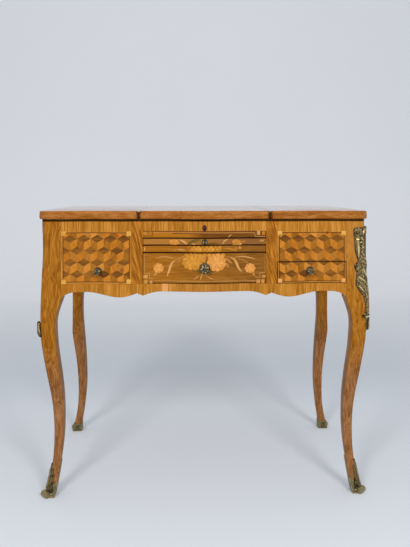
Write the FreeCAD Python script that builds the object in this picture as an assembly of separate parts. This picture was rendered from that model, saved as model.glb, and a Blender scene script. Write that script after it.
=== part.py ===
import FreeCAD, Part
import math
import os

# A poudreuse, the French dressing table on four cabriole legs. Millimetres,
# +Z up, the front faces -Y, and the origin is on the floor under the middle of
# the whole table, knobs and hinge knuckles included.

# Overall sizes
table_height = 760.0
case_half_width = 434.0
case_depth = 480.0
lid_thickness = 22.0
lid_side_overhang = 7.5
lid_front_overhang = 7.0
lid_back_overhang = 5.0
lid_seat_gap = 0.3
lid_joint_gap = 1.0
lid_joint_set_out = 11.5
lid_corner_radius = 35.0
lid_back_corner_radius = 15.0
lid_joint_corner_radius = 12.0
lid_top_round = 5.0
lid_bottom_round = 4.0

# Heights of the front, rail by rail from the top down
top_rail_height = 50.2
slide_opening_height = 19.5
middle_rail_height = 18.5
centre_opening_height = 83.5
right_opening_height = 58.5

# Widths of the front, from the middle
centre_opening_half = 164.5
stile_width = 29.5
post_size = 54.5
post_corner_radius = 20.0

# Serpentine plan: places along the front, and how far it stands forward there
case_bow = 8.0
lid_bow = 10.0
case_serpentine_shares = ((-1.0, 0.0), (-0.79, -1.0), (-0.56, 0.0), (-0.325, -1.0), (0.0, 0.5),
                          (0.325, -1.0), (0.56, 0.0), (0.79, -1.0), (1.0, 0.0))
lid_serpentine_shares = ((-1.0, 0.0), (-0.75, -1.0), (-0.54, 0.0), (-0.31, -0.8), (0.0, 1.0),
                         (0.31, -0.8), (0.54, 0.0), (0.75, -1.0), (1.0, 0.0))

# Boards of the case
front_thickness = 18.0
side_thickness = 16.0
side_set_in = 1.5
waist_depth = 4.2
waist_low_rise = 22.0
waist_top_drop = 6.0
back_thickness = 14.0
partition_thickness = 14.0
partition_set_out = 9.0
floor_thickness = 6.0
well_floor_thickness = 4.5
well_floor_left_drop = 14.0
runner_width = 20.0
runner_height = 16.0
guide_height = 14.0
guide_gap = 0.6
running_gap = 0.4
slide_bearer_width = 18.0

# Cabriole leg: heights as shares of the leg, then its sway and size at each of them
leg_sway = 28.5
leg_height_shares = (0.000, 0.060, 0.115, 0.190, 0.305, 0.381, 0.457, 0.534, 0.610, 0.686, 0.762,
                     0.839, 0.915, 0.945, 1.000, 1.065, 1.130)
front_sway_shares = (-0.28, -0.56, -0.77, -0.94, -1.00, -0.94, -0.79, -0.55, -0.31, -0.10, 0.07,
                     0.15, 0.13, 0.09, 0.03, 0.01, 0.00)
back_sway_shares = (-0.14, -0.30, -0.54, -0.74, -0.79, -0.69, -0.48, -0.20, 0.05, 0.23, 0.32,
                    0.30, 0.19, 0.13, 0.04, 0.01, 0.00)
leg_size_shares = (0.470, 0.432, 0.410, 0.422, 0.495, 0.534, 0.594, 0.660, 0.702, 0.722, 0.758,
                   0.815, 1.020, 1.090, 1.110, 1.050, 1.000)
leg_corner_shares = (0.39, 0.37, 0.36, 0.38, 0.40, 0.40, 0.39, 0.40, 0.42, 0.43, 0.45, 0.49,
                     0.57, 0.62, 0.72, 0.85, 1.00)

# Bronze shoes
sole_thickness = 3.0
sabot_wall = 2.2
sabot_leaf_height = 86.0
sabot_valley_height = 28.0
sabot_collar_height = 39.0
back_sabot_height = 25.0
toe_radius = 8.0
toe_length = 22.0
toe_set_in = 1.5
sabot_levels = 5
sabot_valley_share = 0.45
sabot_tab_share = 0.9
sabot_leaf_width_share = 0.26
sabot_leaf_turn_share = 0.8

# Bronze corner mount
mount_relief = 4.5
mount_outline_shares = ((0.000, 0.00), (0.022, 0.10), (0.109, 0.21), (0.127, 0.42), (0.145, 0.54),
                        (0.170, 0.26), (0.247, 0.22), (0.326, 0.30), (0.384, 0.63), (0.443, 0.89),
                        (0.519, 0.82), (0.551, 0.77), (0.606, 0.96), (0.638, 0.96), (0.664, 0.66),
                        (0.711, 0.77), (0.798, 0.95), (0.896, 0.95), (0.910, 1.00), (0.983, 1.00),
                        (1.000, 0.90))
mount_bottom_drop = 126.0
mount_top_drop = 22.0
mount_half_width = 24.0
mount_skipped_levels = 7
leaf_bottom_drop = 137.0
leaf_height = 40.0
leaf_half_width = 8.0
leaf_outline_shares = ((0.00, 0.00), (0.25, 0.55), (0.60, 1.00), (0.85, 0.95), (1.00, 0.45))

# Scalloped lower edges: places along the front, and drops below the rails' line
apron_flat_set_in = 46.5
apron_flat_drop = 21.0
apron_fall_share = 0.3
apron_cusp_set_in = 0.5
apron_cusp_drop = 31.5
apron_notch_set_out = 15.0
apron_notch_drop = 24.5
apron_belly_set_out = 51.5
apron_belly_drop = 34.5
apron_arch_share = 0.665
apron_arch_drop = 21.5
apron_foot_drop = 38.0
side_arch_share = 0.25
side_belly_drop = 34.0

# Drawers and slide
reveal = 0.9
drawer_front_thickness = 17.0
drawer_side_thickness = 9.0
drawer_bottom_thickness = 5.0
drawer_bottom_lift = 6.0
drawer_back_gap = 49.0
drawer_side_drop = 8.0
slide_back_gap = 70.0
slide_front_thickness = 16.0

# Mirror under the middle lid
mirror_thickness = 3.0
mirror_side_set_in = 36.0
mirror_front_set_in = 56.0
mirror_back_set_in = 40.0
moulding_width = 13.0
moulding_height = 7.0
moulding_round = 3.0
moulding_lap_share = 0.25

# Hinges
knuckle_radius = 3.0
knuckle_length = 11.0
knuckle_count = 3
knuckle_gap = 0.3
hinge_pin_radius = 1.2
hinge_pin_play = 0.05
hinge_axis_set_out = 1.5
leaf_thickness = 1.6
leaf_length = 24.0
mortise_gap = 0.15
side_hinge_share = 0.27
centre_hinge_set_in = 49.5

# Lock
lock_width = 46.0
lock_thickness = 9.0
lock_height = 32.0
lock_top_set_in = 3.0
bolt_width = 16.0
bolt_thickness = 3.4
bolt_height = 22.0
bolt_throw = 7.0
bolt_gap = 0.3
keeper_width = 34.0
keeper_depth = 9.0
keeper_thickness = 1.5
keeper_play = 0.8
keyhole_drop = 24.7
keyhole_radius = 2.3
keyhole_slot_width = 2.2
keyhole_slot_length = 6.0
escutcheon_wall = 1.3
escutcheon_proud = 0.8

# Knobs: stations of the turned profile as shares of length and radius
knob_length = 24.0
side_knob_radius = 11.0
centre_knob_radius = 14.5
slide_knob_length = 15.0
slide_knob_radius = 7.5
knob_seat = 2.0
side_knob_rise = 33.5
side_knob_share = 0.48
knob_profile_shares = ((0.00, 1.00), (0.09, 1.00), (0.18, 0.70), (0.32, 0.34), (0.46, 0.36),
                       (0.68, 0.76), (0.80, 0.74))

# Values worked out from the sizes above
overrun = 5.0
crown_share = case_serpentine_shares[len(case_serpentine_shares) // 2][1]
knob_reach = case_bow * crown_share + knob_length
back_reach = lid_back_overhang + hinge_axis_set_out + knuckle_radius
depth_shift = (knob_reach - back_reach) / 2
front_y = depth_shift - case_depth / 2
back_y = depth_shift + case_depth / 2
case_top_z = table_height - lid_thickness - lid_seat_gap
lid_bottom_z = table_height - lid_thickness
top_rail_bottom_z = case_top_z - top_rail_height
middle_rail_top_z = top_rail_bottom_z - slide_opening_height
middle_rail_bottom_z = middle_rail_top_z - middle_rail_height
apron_top_z = middle_rail_bottom_z - centre_opening_height
false_front_split_z = apron_top_z + right_opening_height
well_floor_left_z = apron_top_z - well_floor_left_drop
apron_flat_z = apron_top_z - apron_flat_drop
apron_cusp_z = apron_top_z - apron_cusp_drop
apron_notch_z = apron_top_z - apron_notch_drop
apron_belly_z = apron_top_z - apron_belly_drop
apron_arch_z = apron_top_z - apron_arch_drop
apron_foot_z = apron_top_z - apron_foot_drop
side_belly_z = apron_top_z - side_belly_drop
mount_bottom_z = apron_top_z - mount_bottom_drop
mount_top_z = case_top_z - mount_top_drop
leaf_bottom_z = apron_top_z - leaf_bottom_drop
leaf_top_z = leaf_bottom_z + leaf_height
keyhole_z = case_top_z - keyhole_drop
side_knob_z = apron_top_z + side_knob_rise
lid_half_width = case_half_width + lid_side_overhang
lid_front_y = front_y - lid_front_overhang
lid_back_y = back_y + lid_back_overhang
post_inner_x = case_half_width - post_size
front_inner_y = front_y + front_thickness
back_inner_y = back_y - back_thickness
side_outer_x = case_half_width - side_set_in
side_inner_x = side_outer_x - side_thickness
stile_outer_x = centre_opening_half + stile_width
lid_joint_x = centre_opening_half + lid_joint_set_out
partition_inner_x = centre_opening_half + partition_set_out
partition_outer_x = partition_inner_x + partition_thickness
apron_flat_half = centre_opening_half - apron_flat_set_in
apron_cusp_x = centre_opening_half - apron_cusp_set_in
apron_notch_x = centre_opening_half + apron_notch_set_out
apron_belly_x = centre_opening_half + apron_belly_set_out
apron_arch_x = apron_belly_x + (post_inner_x - apron_belly_x) * apron_arch_share
side_knob_x = stile_outer_x + (post_inner_x - stile_outer_x) * side_knob_share
side_hinge_places = (-case_depth * side_hinge_share, case_depth * side_hinge_share)
centre_hinge_places = (centre_hinge_set_in - centre_opening_half,
                       centre_opening_half - centre_hinge_set_in)
mirror_half_width = lid_joint_x - mirror_side_set_in
leg_height = apron_top_z
waist_low_z = apron_top_z + waist_low_rise
waist_top_z = case_top_z - waist_top_drop
hinge_axis_z = (lid_bottom_z + case_top_z) / 2
hinge_half_length = knuckle_length * knuckle_count / 2 + knuckle_gap
diagonal = math.sqrt(0.5)


def vec(x, y, z):
    return FreeCAD.Vector(x, y, z)


def block(x0, x1, y0, y1, z0, z1):
    """A box between two corners."""
    return Part.makeBox(x1 - x0, y1 - y0, z1 - z0, vec(x0, y0, z0))


def to_right(shape):
    """The mirror image of a piece, on the other side of the case."""
    return shape.mirror(vec(0, 0, 0), vec(1, 0, 0))


def to_back(shape):
    """The mirror image of a front piece about the middle of the case."""
    return shape.mirror(vec(0, depth_shift, 0), vec(0, 1, 0))


def save(name, shape):
    shape.exportStep("parts/" + name + ".step")


def polygon_prism(points, travel):
    """A prism on a closed outline of straight edges."""
    wire = Part.makePolygon(list(points) + [points[0]])
    return Part.Face(wire).extrude(travel)


def smooth_edge(points, first=None, last=None):
    """A spline edge through the points, with end directions where given."""
    spline = Part.BSplineCurve()
    if first is None:
        spline.interpolate(Points=points)
    else:
        spline.interpolate(Points=points, InitialTangent=first, FinalTangent=last)
    return spline.toShape()


# Serpentine front

def serpentine_points(shares, half_width, base_y, bow):
    return [vec(half_width * along, base_y - bow * forward, 0) for along, forward in shares]


def case_front_body(inner_y, z0, z1):
    """The case's serpentine front between the posts, back to a flat inner face."""
    points = serpentine_points(case_serpentine_shares, post_inner_x, front_y, case_bow)
    front = smooth_edge(points, vec(1, 0, 0), vec(1, 0, 0))
    right = Part.makeLine(points[-1], vec(post_inner_x, inner_y, 0))
    inner = Part.makeLine(vec(post_inner_x, inner_y, 0), vec(-post_inner_x, inner_y, 0))
    left = Part.makeLine(vec(-post_inner_x, inner_y, 0), points[0])
    face = Part.Face(Part.Wire([front, right, inner, left]))
    face.translate(vec(0, 0, z0))
    return face.extrude(vec(0, 0, z1 - z0))


def front_piece(x0, x1, z0, z1, thickness):
    """A stretch of the serpentine front with a flat back."""
    inner_y = front_y + thickness
    reach = block(x0, x1, front_y - case_bow - overrun, inner_y, z0, z1)
    return case_front_body(inner_y, z0, z1).common(reach)


def half_apron_edges(side):
    """Lower edge of the apron on one side, from the middle flat to the post."""
    def at(x, z):
        return vec(side * x, 0, z)
    fall_mid_x = (apron_flat_half + apron_cusp_x) / 2
    fall_mid_z = apron_flat_z - (apron_flat_z - apron_cusp_z) * apron_fall_share
    fall = Part.Arc(at(apron_flat_half, apron_flat_z), at(fall_mid_x, fall_mid_z),
                    at(apron_cusp_x, apron_cusp_z)).toShape()
    step = Part.makeLine(at(apron_cusp_x, apron_cusp_z), at(apron_notch_x, apron_notch_z))
    rise_x = (apron_belly_x + apron_arch_x) / 2
    rise_z = (apron_belly_z + apron_arch_z) / 2
    swing = smooth_edge([at(apron_notch_x, apron_notch_z), at(apron_belly_x, apron_belly_z),
                         at(rise_x, rise_z), at(apron_arch_x, apron_arch_z),
                         at(post_inner_x, apron_foot_z)])
    return [fall, step, swing]


def front_apron():
    """The scalloped bottom rail, cut from the serpentine front."""
    body = case_front_body(front_inner_y, apron_belly_z - overrun, apron_top_z)
    right = half_apron_edges(1)
    left = half_apron_edges(-1)
    flat = Part.makeLine(vec(-apron_flat_half, 0, apron_flat_z), vec(apron_flat_half, 0, apron_flat_z))
    low_z = apron_foot_z - 2 * overrun
    ends = [vec(post_inner_x, 0, apron_foot_z), vec(post_inner_x, 0, low_z),
            vec(-post_inner_x, 0, low_z), vec(-post_inner_x, 0, apron_foot_z)]
    frame = [Part.makeLine(ends[i], ends[i + 1]) for i in range(len(ends) - 1)]
    edges = left + [flat] + right + frame
    outline = Part.Wire(Part.__sortEdges__(edges))
    tool = Part.Face(outline)
    tool.translate(vec(0, front_y - case_bow - overrun, 0))
    depth = front_thickness + case_bow + 2 * overrun
    return body.cut(tool.extrude(vec(0, depth, 0)))


def keyhole_tool(grow):
    """The keyhole's round and slot, run right through the rail and the lock."""
    reach = front_thickness + lock_thickness + case_bow + 2 * overrun
    start_y = front_y - case_bow - overrun
    along = vec(0, 1, 0)
    hole = Part.makeCylinder(keyhole_radius + grow, reach, vec(0, start_y, keyhole_z), along)
    half = keyhole_slot_width / 2 + grow
    slot = block(-half, half, start_y, start_y + reach,
                 keyhole_z - keyhole_slot_length - grow, keyhole_z)
    return hole.fuse(slot)


def front_top_rail():
    """The rail over the slide, bored for its keyhole."""
    rail = front_piece(-centre_opening_half, centre_opening_half, top_rail_bottom_z, case_top_z,
                       front_thickness)
    return rail.cut(keyhole_tool(escutcheon_wall))


def keyhole_escutcheon():
    """The thin brass liner let into the rail round the keyhole."""
    middle_y = front_y - case_bow * crown_share
    liner = keyhole_tool(escutcheon_wall).cut(keyhole_tool(0))
    reach = keyhole_slot_length + keyhole_radius + 2 * escutcheon_wall
    return liner.common(block(-reach, reach, middle_y - escutcheon_proud,
                              front_inner_y, keyhole_z - reach, keyhole_z + reach))


# Cabriole legs

def leg_section(height, out, size, radius):
    """One level of a leg: square, its outer corner rounded, in the quadrant outwards."""
    near = out - size
    turn = radius * (1 - diagonal)
    corner = [vec(near, near, height), vec(out, near, height), vec(out, out - radius, height),
              vec(out - turn, out - turn, height), vec(out - radius, out, height),
              vec(near, out, height)]
    edges = [Part.makeLine(corner[0], corner[1]), Part.makeLine(corner[1], corner[2]),
             Part.Arc(corner[2], corner[3], corner[4]).toShape(),
             Part.makeLine(corner[4], corner[5]), Part.makeLine(corner[5], corner[0])]
    return Part.Wire(edges)


def leg_loft(sways, grow, first, last):
    """A loft through the leg's levels, grown outwards all round by a wall."""
    wires = []
    for station in range(first, last):
        height = leg_height * leg_height_shares[station]
        size = post_size * leg_size_shares[station]
        radius = post_corner_radius * leg_corner_shares[station]
        wires.append(leg_section(height, leg_sway * sways[station] + grow, size + 2 * grow,
                                 radius + grow))
    return Part.makeLoft(wires, True, False)


def post_prism(grow, z0, z1):
    section = leg_section(z0, grow, post_size + 2 * grow, post_corner_radius + grow)
    return Part.Face(section).extrude(vec(0, 0, z1 - z0))


def waist_tool(face_x, y0, y1):
    """A shallow arc that hollows the outer face at the right side of the case."""
    middle_z = (waist_low_z + waist_top_z) / 2
    low = vec(face_x, y0, waist_low_z)
    top = vec(face_x, y0, waist_top_z)
    hollow = Part.Arc(low, vec(face_x - waist_depth, y0, middle_z), top).toShape()
    clear = [top, vec(face_x + overrun, y0, waist_top_z), vec(face_x + overrun, y0, waist_low_z),
             low]
    lines = [Part.makeLine(clear[i], clear[i + 1]) for i in range(len(clear) - 1)]
    return Part.Face(Part.Wire([hollow] + lines)).extrude(vec(0, y1 - y0, 0))


def whole_leg(sways):
    """The leg with its corner post, outer faces on the local planes at zero."""
    stations = len(leg_height_shares)
    swept = leg_loft(sways, 0, 0, stations)
    top_z = leg_height * leg_height_shares[-1]
    leg = swept.fuse(post_prism(0, top_z, case_top_z)).removeSplitter()
    far = 2 * post_size
    foot_cut = block(-far, post_size, -far, post_size, -overrun, sole_thickness)
    side_cut = block(-far, -post_size, -far, post_size, apron_foot_z, table_height)
    front_cut = block(-far, post_size, -far, -post_size, apron_foot_z, table_height)
    waist = waist_tool(0, -far, post_size)
    return leg.cut(foot_cut).cut(side_cut).cut(front_cut).cut(waist)


def place_front_right(shape):
    """From the outward quadrant to the front right corner of the case."""
    turned = shape.mirror(vec(0, 0, 0), vec(0, 1, 0))
    turned.translate(vec(case_half_width, front_y, 0))
    return turned


def diagonal_plate(outline, depth):
    """A flat outline seen along the corner's diagonal, extruded through the corner."""
    reach = depth * diagonal
    points = [vec(across * diagonal - reach, -across * diagonal - reach, height)
              for across, height in outline]
    return polygon_prism(points, vec(2 * reach, 2 * reach, 0))


def mirrored_outline(half):
    """A closed outline from the points of its right half, bottom to top."""
    left = [(-across, height) for across, height in reversed(half) if across > 0]
    return list(half) + left


def sabot_outline():
    """Leaf on the corner, valleys on both faces, collar at the back corners."""
    half_diagonal = post_size * leg_size_shares[0] * diagonal + sabot_wall
    half = [(0, -overrun), (half_diagonal + overrun, -overrun),
            (half_diagonal + overrun, sabot_collar_height),
            (half_diagonal * sabot_tab_share, sabot_collar_height),
            (half_diagonal * sabot_valley_share, sabot_valley_height),
            (half_diagonal * sabot_leaf_width_share, sabot_leaf_height * sabot_leaf_turn_share),
            (0, sabot_leaf_height)]
    return mirrored_outline(half)


def toe_scroll(sways):
    """The rolled leaf end that the shoe stands on, across the corner's diagonal."""
    out = leg_sway * sways[0] - toe_set_in
    radius = post_corner_radius * leg_corner_shares[0]
    corner = out - radius * (1 - diagonal)
    half = toe_length / 2 * diagonal
    start = vec(corner - half, corner + half, toe_radius)
    return Part.makeCylinder(toe_radius, toe_length, start, vec(1, -1, 0))


def sabot(leg, sways, tall):
    """A cast shoe: a wall round the foot with a sole, cut to its outline."""
    sleeve = leg_loft(sways, sabot_wall, 0, sabot_levels)
    if tall:
        shoe = sleeve.common(diagonal_plate(sabot_outline(), 2 * post_size))
    else:
        cap = block(-2 * post_size, post_size, -2 * post_size, post_size, 0, back_sabot_height)
        shoe = sleeve.common(cap)
    shoe = shoe.fuse(toe_scroll(sways)).cut(leg)
    return max(shoe.Solids, key=lambda solid: solid.Volume)


def corner_plate(leg, half_width, bottom_z, top_z, shares):
    """A relief that follows the leg's outer corner, cut to a leaf's outline."""
    span = top_z - bottom_z
    half = [(half_width * across, bottom_z + span * up) for up, across in shares]
    if half[-1][0] > 0:
        half.append((0, top_z))
    stations = len(leg_height_shares)
    grown = leg_loft(front_sway_shares, mount_relief, mount_skipped_levels, stations)
    start_z = leg_height * leg_height_shares[-1]
    grown = grown.fuse(post_prism(mount_relief, start_z, case_top_z))
    prism = diagonal_plate(mirrored_outline(half), post_size)
    plate = grown.common(prism).cut(leg)
    return max(plate.Solids, key=lambda solid: solid.Volume)


# Sides, back and inner boards

def side_panel():
    """Left side board between the posts, scalloped below and let in for the hinges."""
    y0 = front_y + post_size
    y1 = back_y - post_size
    arch = (y1 - y0) / 2 * side_arch_share
    low = [vec(0, y0, apron_foot_z), vec(0, y0 + arch, apron_arch_z),
           vec(0, depth_shift, side_belly_z), vec(0, y1 - arch, apron_arch_z),
           vec(0, y1, apron_foot_z)]
    edge = smooth_edge(low)
    top = [vec(0, y1, apron_foot_z), vec(0, y1, case_top_z), vec(0, y0, case_top_z),
           vec(0, y0, apron_foot_z)]
    lines = [Part.makeLine(top[i], top[i + 1]) for i in range(len(top) - 1)]
    face = Part.Face(Part.Wire([edge] + lines))
    face.translate(vec(side_inner_x, 0, 0))
    right = face.extrude(vec(side_thickness, 0, 0))
    panel = to_right(right.cut(waist_tool(case_half_width, y0 - overrun, y1 + overrun)))
    for place in side_hinge_places:
        panel = panel.cut(side_mortise(place, -1))
    return panel


def back_panel():
    """The back board, straight below, let in for the middle hinges."""
    panel = block(-post_inner_x, post_inner_x, back_inner_y, back_y, apron_flat_z, case_top_z)
    for place in centre_hinge_places:
        panel = panel.cut(back_mortise(place, -1))
    return panel


def partition_left():
    return block(-partition_outer_x, -partition_inner_x, front_inner_y, back_inner_y,
                 apron_flat_z, case_top_z)


def well_floor_left():
    """Bottom of the deep left well, notched round the two posts."""
    z1 = well_floor_left_z + floor_thickness
    board = block(-side_inner_x, -partition_outer_x, front_inner_y, back_inner_y,
                  well_floor_left_z, z1)
    return board.cut(post_notches(-1, well_floor_left_z, z1))


def well_floor_right():
    """Bottom of the right well, over the drawer, notched round the two posts."""
    z0 = false_front_split_z + running_gap
    z1 = z0 + floor_thickness
    board = block(partition_outer_x, side_inner_x, front_inner_y, back_inner_y, z0, z1)
    return board.cut(post_notches(1, z0, z1))


def post_notches(side, z0, z1):
    x0 = side * post_inner_x
    x1 = side * case_half_width
    low_x = min(x0, x1)
    high_x = max(x0, x1)
    front = block(low_x, high_x, front_y, front_y + post_size, z0, z1)
    back = block(low_x, high_x, back_y - post_size, back_y, z0, z1)
    return front.fuse(back)


def well_floor_centre():
    """Thin bottom of the mirror well, which also keeps the slide from tipping."""
    return block(-partition_inner_x, partition_inner_x, front_inner_y, back_inner_y,
                 top_rail_bottom_z, top_rail_bottom_z + well_floor_thickness)


def drawer_runner(wall_x, opening_x, inward):
    """An L-shaped strip on a wall: the drawer's side runs on it, guided by its lip."""
    z0 = apron_top_z - runner_height
    lip_x = opening_x + inward * (reveal - guide_gap)
    edge_x = opening_x + inward * runner_width
    strip = block(min(wall_x, edge_x), max(wall_x, edge_x), front_inner_y, back_inner_y, z0,
                  apron_top_z)
    lip = block(min(wall_x, lip_x), max(wall_x, lip_x), front_inner_y, back_inner_y, z0,
                apron_top_z + guide_height)
    return strip.fuse(lip).removeSplitter()


def centre_runners():
    right = drawer_runner(partition_inner_x, centre_opening_half, -1)
    return Part.makeCompound([right, to_right(right)])


def right_runners():
    """One strip on the partition and one that spans from the apron to the back."""
    inner = drawer_runner(partition_outer_x, stile_outer_x, 1)
    outer = block(post_inner_x - runner_width, post_inner_x, front_inner_y, back_inner_y,
                  apron_top_z - runner_height, apron_top_z)
    return Part.makeCompound([inner, outer])


def slide_bearers():
    """Strips level with the middle rail: the slide runs on them."""
    right = block(partition_inner_x - slide_bearer_width, partition_inner_x, front_inner_y,
                  back_inner_y, middle_rail_bottom_z, middle_rail_top_z)
    return Part.makeCompound([right, to_right(right)])


# Hinges

def leaf_room(side):
    """Lower and upper level of a leaf's mortise: side 1 in the lid, -1 in the case."""
    depth = leaf_thickness + mortise_gap
    if side > 0:
        return lid_bottom_z, lid_bottom_z + depth
    return case_top_z - depth, case_top_z


def side_mortise(place, side):
    """Room for one leaf of a left hinge."""
    axis_x = -lid_half_width - hinge_axis_set_out
    half = hinge_half_length + mortise_gap
    z0, z1 = leaf_room(side)
    return block(axis_x, axis_x + leaf_length + mortise_gap, place - half, place + half, z0, z1)


def back_mortise(place, side):
    """Room for one leaf of a middle hinge."""
    axis_y = lid_back_y + hinge_axis_set_out
    half = hinge_half_length + mortise_gap
    z0, z1 = leaf_room(side)
    return block(place - half, place + half, axis_y - leaf_length - mortise_gap, axis_y, z0, z1)


def hinge_leaf(upper):
    """One leaf along local +Y from the axis, which lies on local X at zero height.
    The lid's leaf has the middle knuckle and the case's leaf the outer two."""
    half = hinge_half_length
    face_z = lid_seat_gap / 2
    clear = knuckle_radius + knuckle_gap
    z0 = face_z if upper else -face_z - leaf_thickness
    leaf = block(-half, half, clear, leaf_length, z0, z0 + leaf_thickness)
    if upper:
        spans = [(-knuckle_length / 2, knuckle_length / 2)]
    else:
        spans = [(-half, -half + knuckle_length), (half - knuckle_length, half)]
    for x0, x1 in spans:
        tongue = block(x0, x1, 0, clear, z0, z0 + leaf_thickness)
        barrel = Part.makeCylinder(knuckle_radius, x1 - x0, vec(x0, 0, 0), vec(1, 0, 0))
        leaf = leaf.fuse(tongue).fuse(barrel)
    bore = Part.makeCylinder(hinge_pin_radius + hinge_pin_play, 2 * half + 2 * overrun,
                             vec(-half - overrun, 0, 0), vec(1, 0, 0))
    return leaf.removeSplitter().cut(bore)


def hinge_pin():
    return Part.makeCylinder(hinge_pin_radius, 2 * hinge_half_length,
                             vec(-hinge_half_length, 0, 0), vec(1, 0, 0))


def at_left_side(shape, place):
    """Turn a hinge piece to the left edge: local +Y becomes +X."""
    turned = shape.copy()
    turned.rotate(vec(0, 0, 0), vec(0, 0, 1), -90)
    turned.translate(vec(-lid_half_width - hinge_axis_set_out, place, hinge_axis_z))
    return turned


def at_back(shape, place):
    """Turn a hinge piece to the back edge: local +Y becomes -Y."""
    turned = shape.copy()
    turned.rotate(vec(0, 0, 0), vec(0, 0, 1), 180)
    turned.translate(vec(place, lid_back_y + hinge_axis_set_out, hinge_axis_z))
    return turned


# Lids

def top_outline():
    """Plan of the whole top: serpentine front, rounded corners, straight back."""
    flat_half = lid_half_width - lid_corner_radius
    points = serpentine_points(lid_serpentine_shares, flat_half, lid_front_y, lid_bow)
    front = smooth_edge(points, vec(1, 0, 0), vec(1, 0, 0))
    turn = lid_corner_radius * (1 - diagonal)
    back_turn = lid_back_corner_radius * (1 - diagonal)
    edges = [front]
    for side in (1, -1):
        x = side * lid_half_width
        corner_y = lid_front_y + lid_corner_radius
        edges.append(Part.Arc(vec(side * flat_half, lid_front_y, 0),
                              vec(x - side * turn, lid_front_y + turn, 0),
                              vec(x, corner_y, 0)).toShape())
        edges.append(Part.makeLine(vec(x, corner_y, 0),
                                   vec(x, lid_back_y - lid_back_corner_radius, 0)))
        edges.append(Part.Arc(vec(x, lid_back_y - lid_back_corner_radius, 0),
                              vec(x - side * back_turn, lid_back_y - back_turn, 0),
                              vec(x - side * lid_back_corner_radius, lid_back_y, 0)).toShape())
    end = lid_half_width - lid_back_corner_radius
    edges.append(Part.makeLine(vec(end, lid_back_y, 0), vec(-end, lid_back_y, 0)))
    return Part.Wire(Part.__sortEdges__(edges))


def lid_slab(x0, x1, rounded_x):
    """A lid between two joints, its corners at the joints rounded in plan."""
    face = Part.Face(top_outline())
    face.translate(vec(0, 0, lid_bottom_z))
    slab = face.extrude(vec(0, 0, lid_thickness))
    slab = slab.common(block(x0, x1, lid_front_y - lid_bow - overrun, lid_back_y + overrun,
                             lid_bottom_z, table_height))
    corners = []
    for edge in slab.Edges:
        middle = edge.BoundBox
        upright = middle.ZLength > lid_thickness / 2
        at_front = middle.YMax < front_y + post_size / 2
        at_joint = min(abs(middle.XMin - x) for x in rounded_x) < lid_joint_gap / 2
        if upright and at_front and at_joint:
            corners.append(edge)
    slab = slab.makeFillet(lid_joint_corner_radius, corners)
    slab = slab.makeFillet(lid_top_round, level_edges(slab, table_height))
    return slab.makeFillet(lid_bottom_round, level_edges(slab, lid_bottom_z))


def level_edges(shape, z):
    """The edges that lie wholly at one height."""
    near = lid_seat_gap / 2
    return [edge for edge in shape.Edges
            if abs(edge.BoundBox.ZMin - z) < near and abs(edge.BoundBox.ZMax - z) < near]


def knuckle_notch(place, at):
    """The round room that a lid leaves for a hinge barrel."""
    half = hinge_half_length + knuckle_gap
    drum = Part.makeCylinder(knuckle_radius + knuckle_gap, 2 * half, vec(-half, 0, 0), vec(1, 0, 0))
    return at(drum, place)


def lid_left():
    inner_x = -lid_joint_x - lid_joint_gap / 2
    lid = lid_slab(-lid_half_width - overrun, inner_x, (inner_x,))
    for place in side_hinge_places:
        lid = lid.cut(side_mortise(place, 1)).cut(knuckle_notch(place, at_left_side))
    return lid


def lid_centre():
    half = lid_joint_x - lid_joint_gap / 2
    lid = lid_slab(-half, half, (-half, half))
    for place in centre_hinge_places:
        lid = lid.cut(back_mortise(place, 1)).cut(knuckle_notch(place, at_back))
    return lid.cut(keeper_mortise())


# Mirror

def mirror_span():
    return lid_front_y + mirror_front_set_in, lid_back_y - mirror_back_set_in


def mirror_plate():
    y0, y1 = mirror_span()
    return block(-mirror_half_width, mirror_half_width, y0, y1, lid_bottom_z - mirror_thickness,
                 lid_bottom_z)


def mirror_mouldings():
    """Four mitred mouldings that hold the glass against the lid."""
    y0, y1 = mirror_span()
    x1 = mirror_half_width + moulding_width
    outer = block(-x1, x1, y0 - moulding_width, y1 + moulding_width,
                  lid_bottom_z - moulding_height, lid_bottom_z)
    lower = [edge for edge in outer.Edges
             if edge.BoundBox.ZMax < lid_bottom_z - moulding_height / 2]
    outer = outer.makeFillet(moulding_round, lower)
    lap = moulding_width * moulding_lap_share
    glass = block(-mirror_half_width, mirror_half_width, y0, y1,
                  lid_bottom_z - mirror_thickness, lid_bottom_z)
    sight = block(-mirror_half_width + lap, mirror_half_width - lap, y0 + lap, y1 - lap,
                  lid_bottom_z - moulding_height, lid_bottom_z)
    ring = outer.cut(glass).cut(sight)
    pieces = []
    for corners in mitre_outlines(x1, y0 - moulding_width, y1 + moulding_width):
        base = [vec(x, y, lid_bottom_z - moulding_height) for x, y in corners]
        pieces.append(ring.common(polygon_prism(base, vec(0, 0, moulding_height))))
    return pieces


def mitre_outlines(x1, y0, y1):
    """Plan of each moulding's share of the frame, divided at the mitres."""
    inset = 2 * moulding_width
    low_left, low_right = (-x1, y0), (x1, y0)
    top_left, top_right = (-x1, y1), (x1, y1)
    in_low_left, in_low_right = (-x1 + inset, y0 + inset), (x1 - inset, y0 + inset)
    in_top_left, in_top_right = (-x1 + inset, y1 - inset), (x1 - inset, y1 - inset)
    return [(low_left, low_right, in_low_right, in_low_left),
            (low_right, top_right, in_top_right, in_low_right),
            (top_right, top_left, in_top_left, in_top_right),
            (top_left, low_left, in_low_left, in_top_left)]


# Lock

def bolt_middle_y():
    return front_inner_y + lock_thickness / 2


def keeper_blank():
    """The keeper plate before its slot is cut."""
    middle = bolt_middle_y()
    return block(-keeper_width / 2, keeper_width / 2, middle - keeper_depth / 2,
                 middle + keeper_depth / 2, lid_bottom_z, lid_bottom_z + keeper_thickness)


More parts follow.
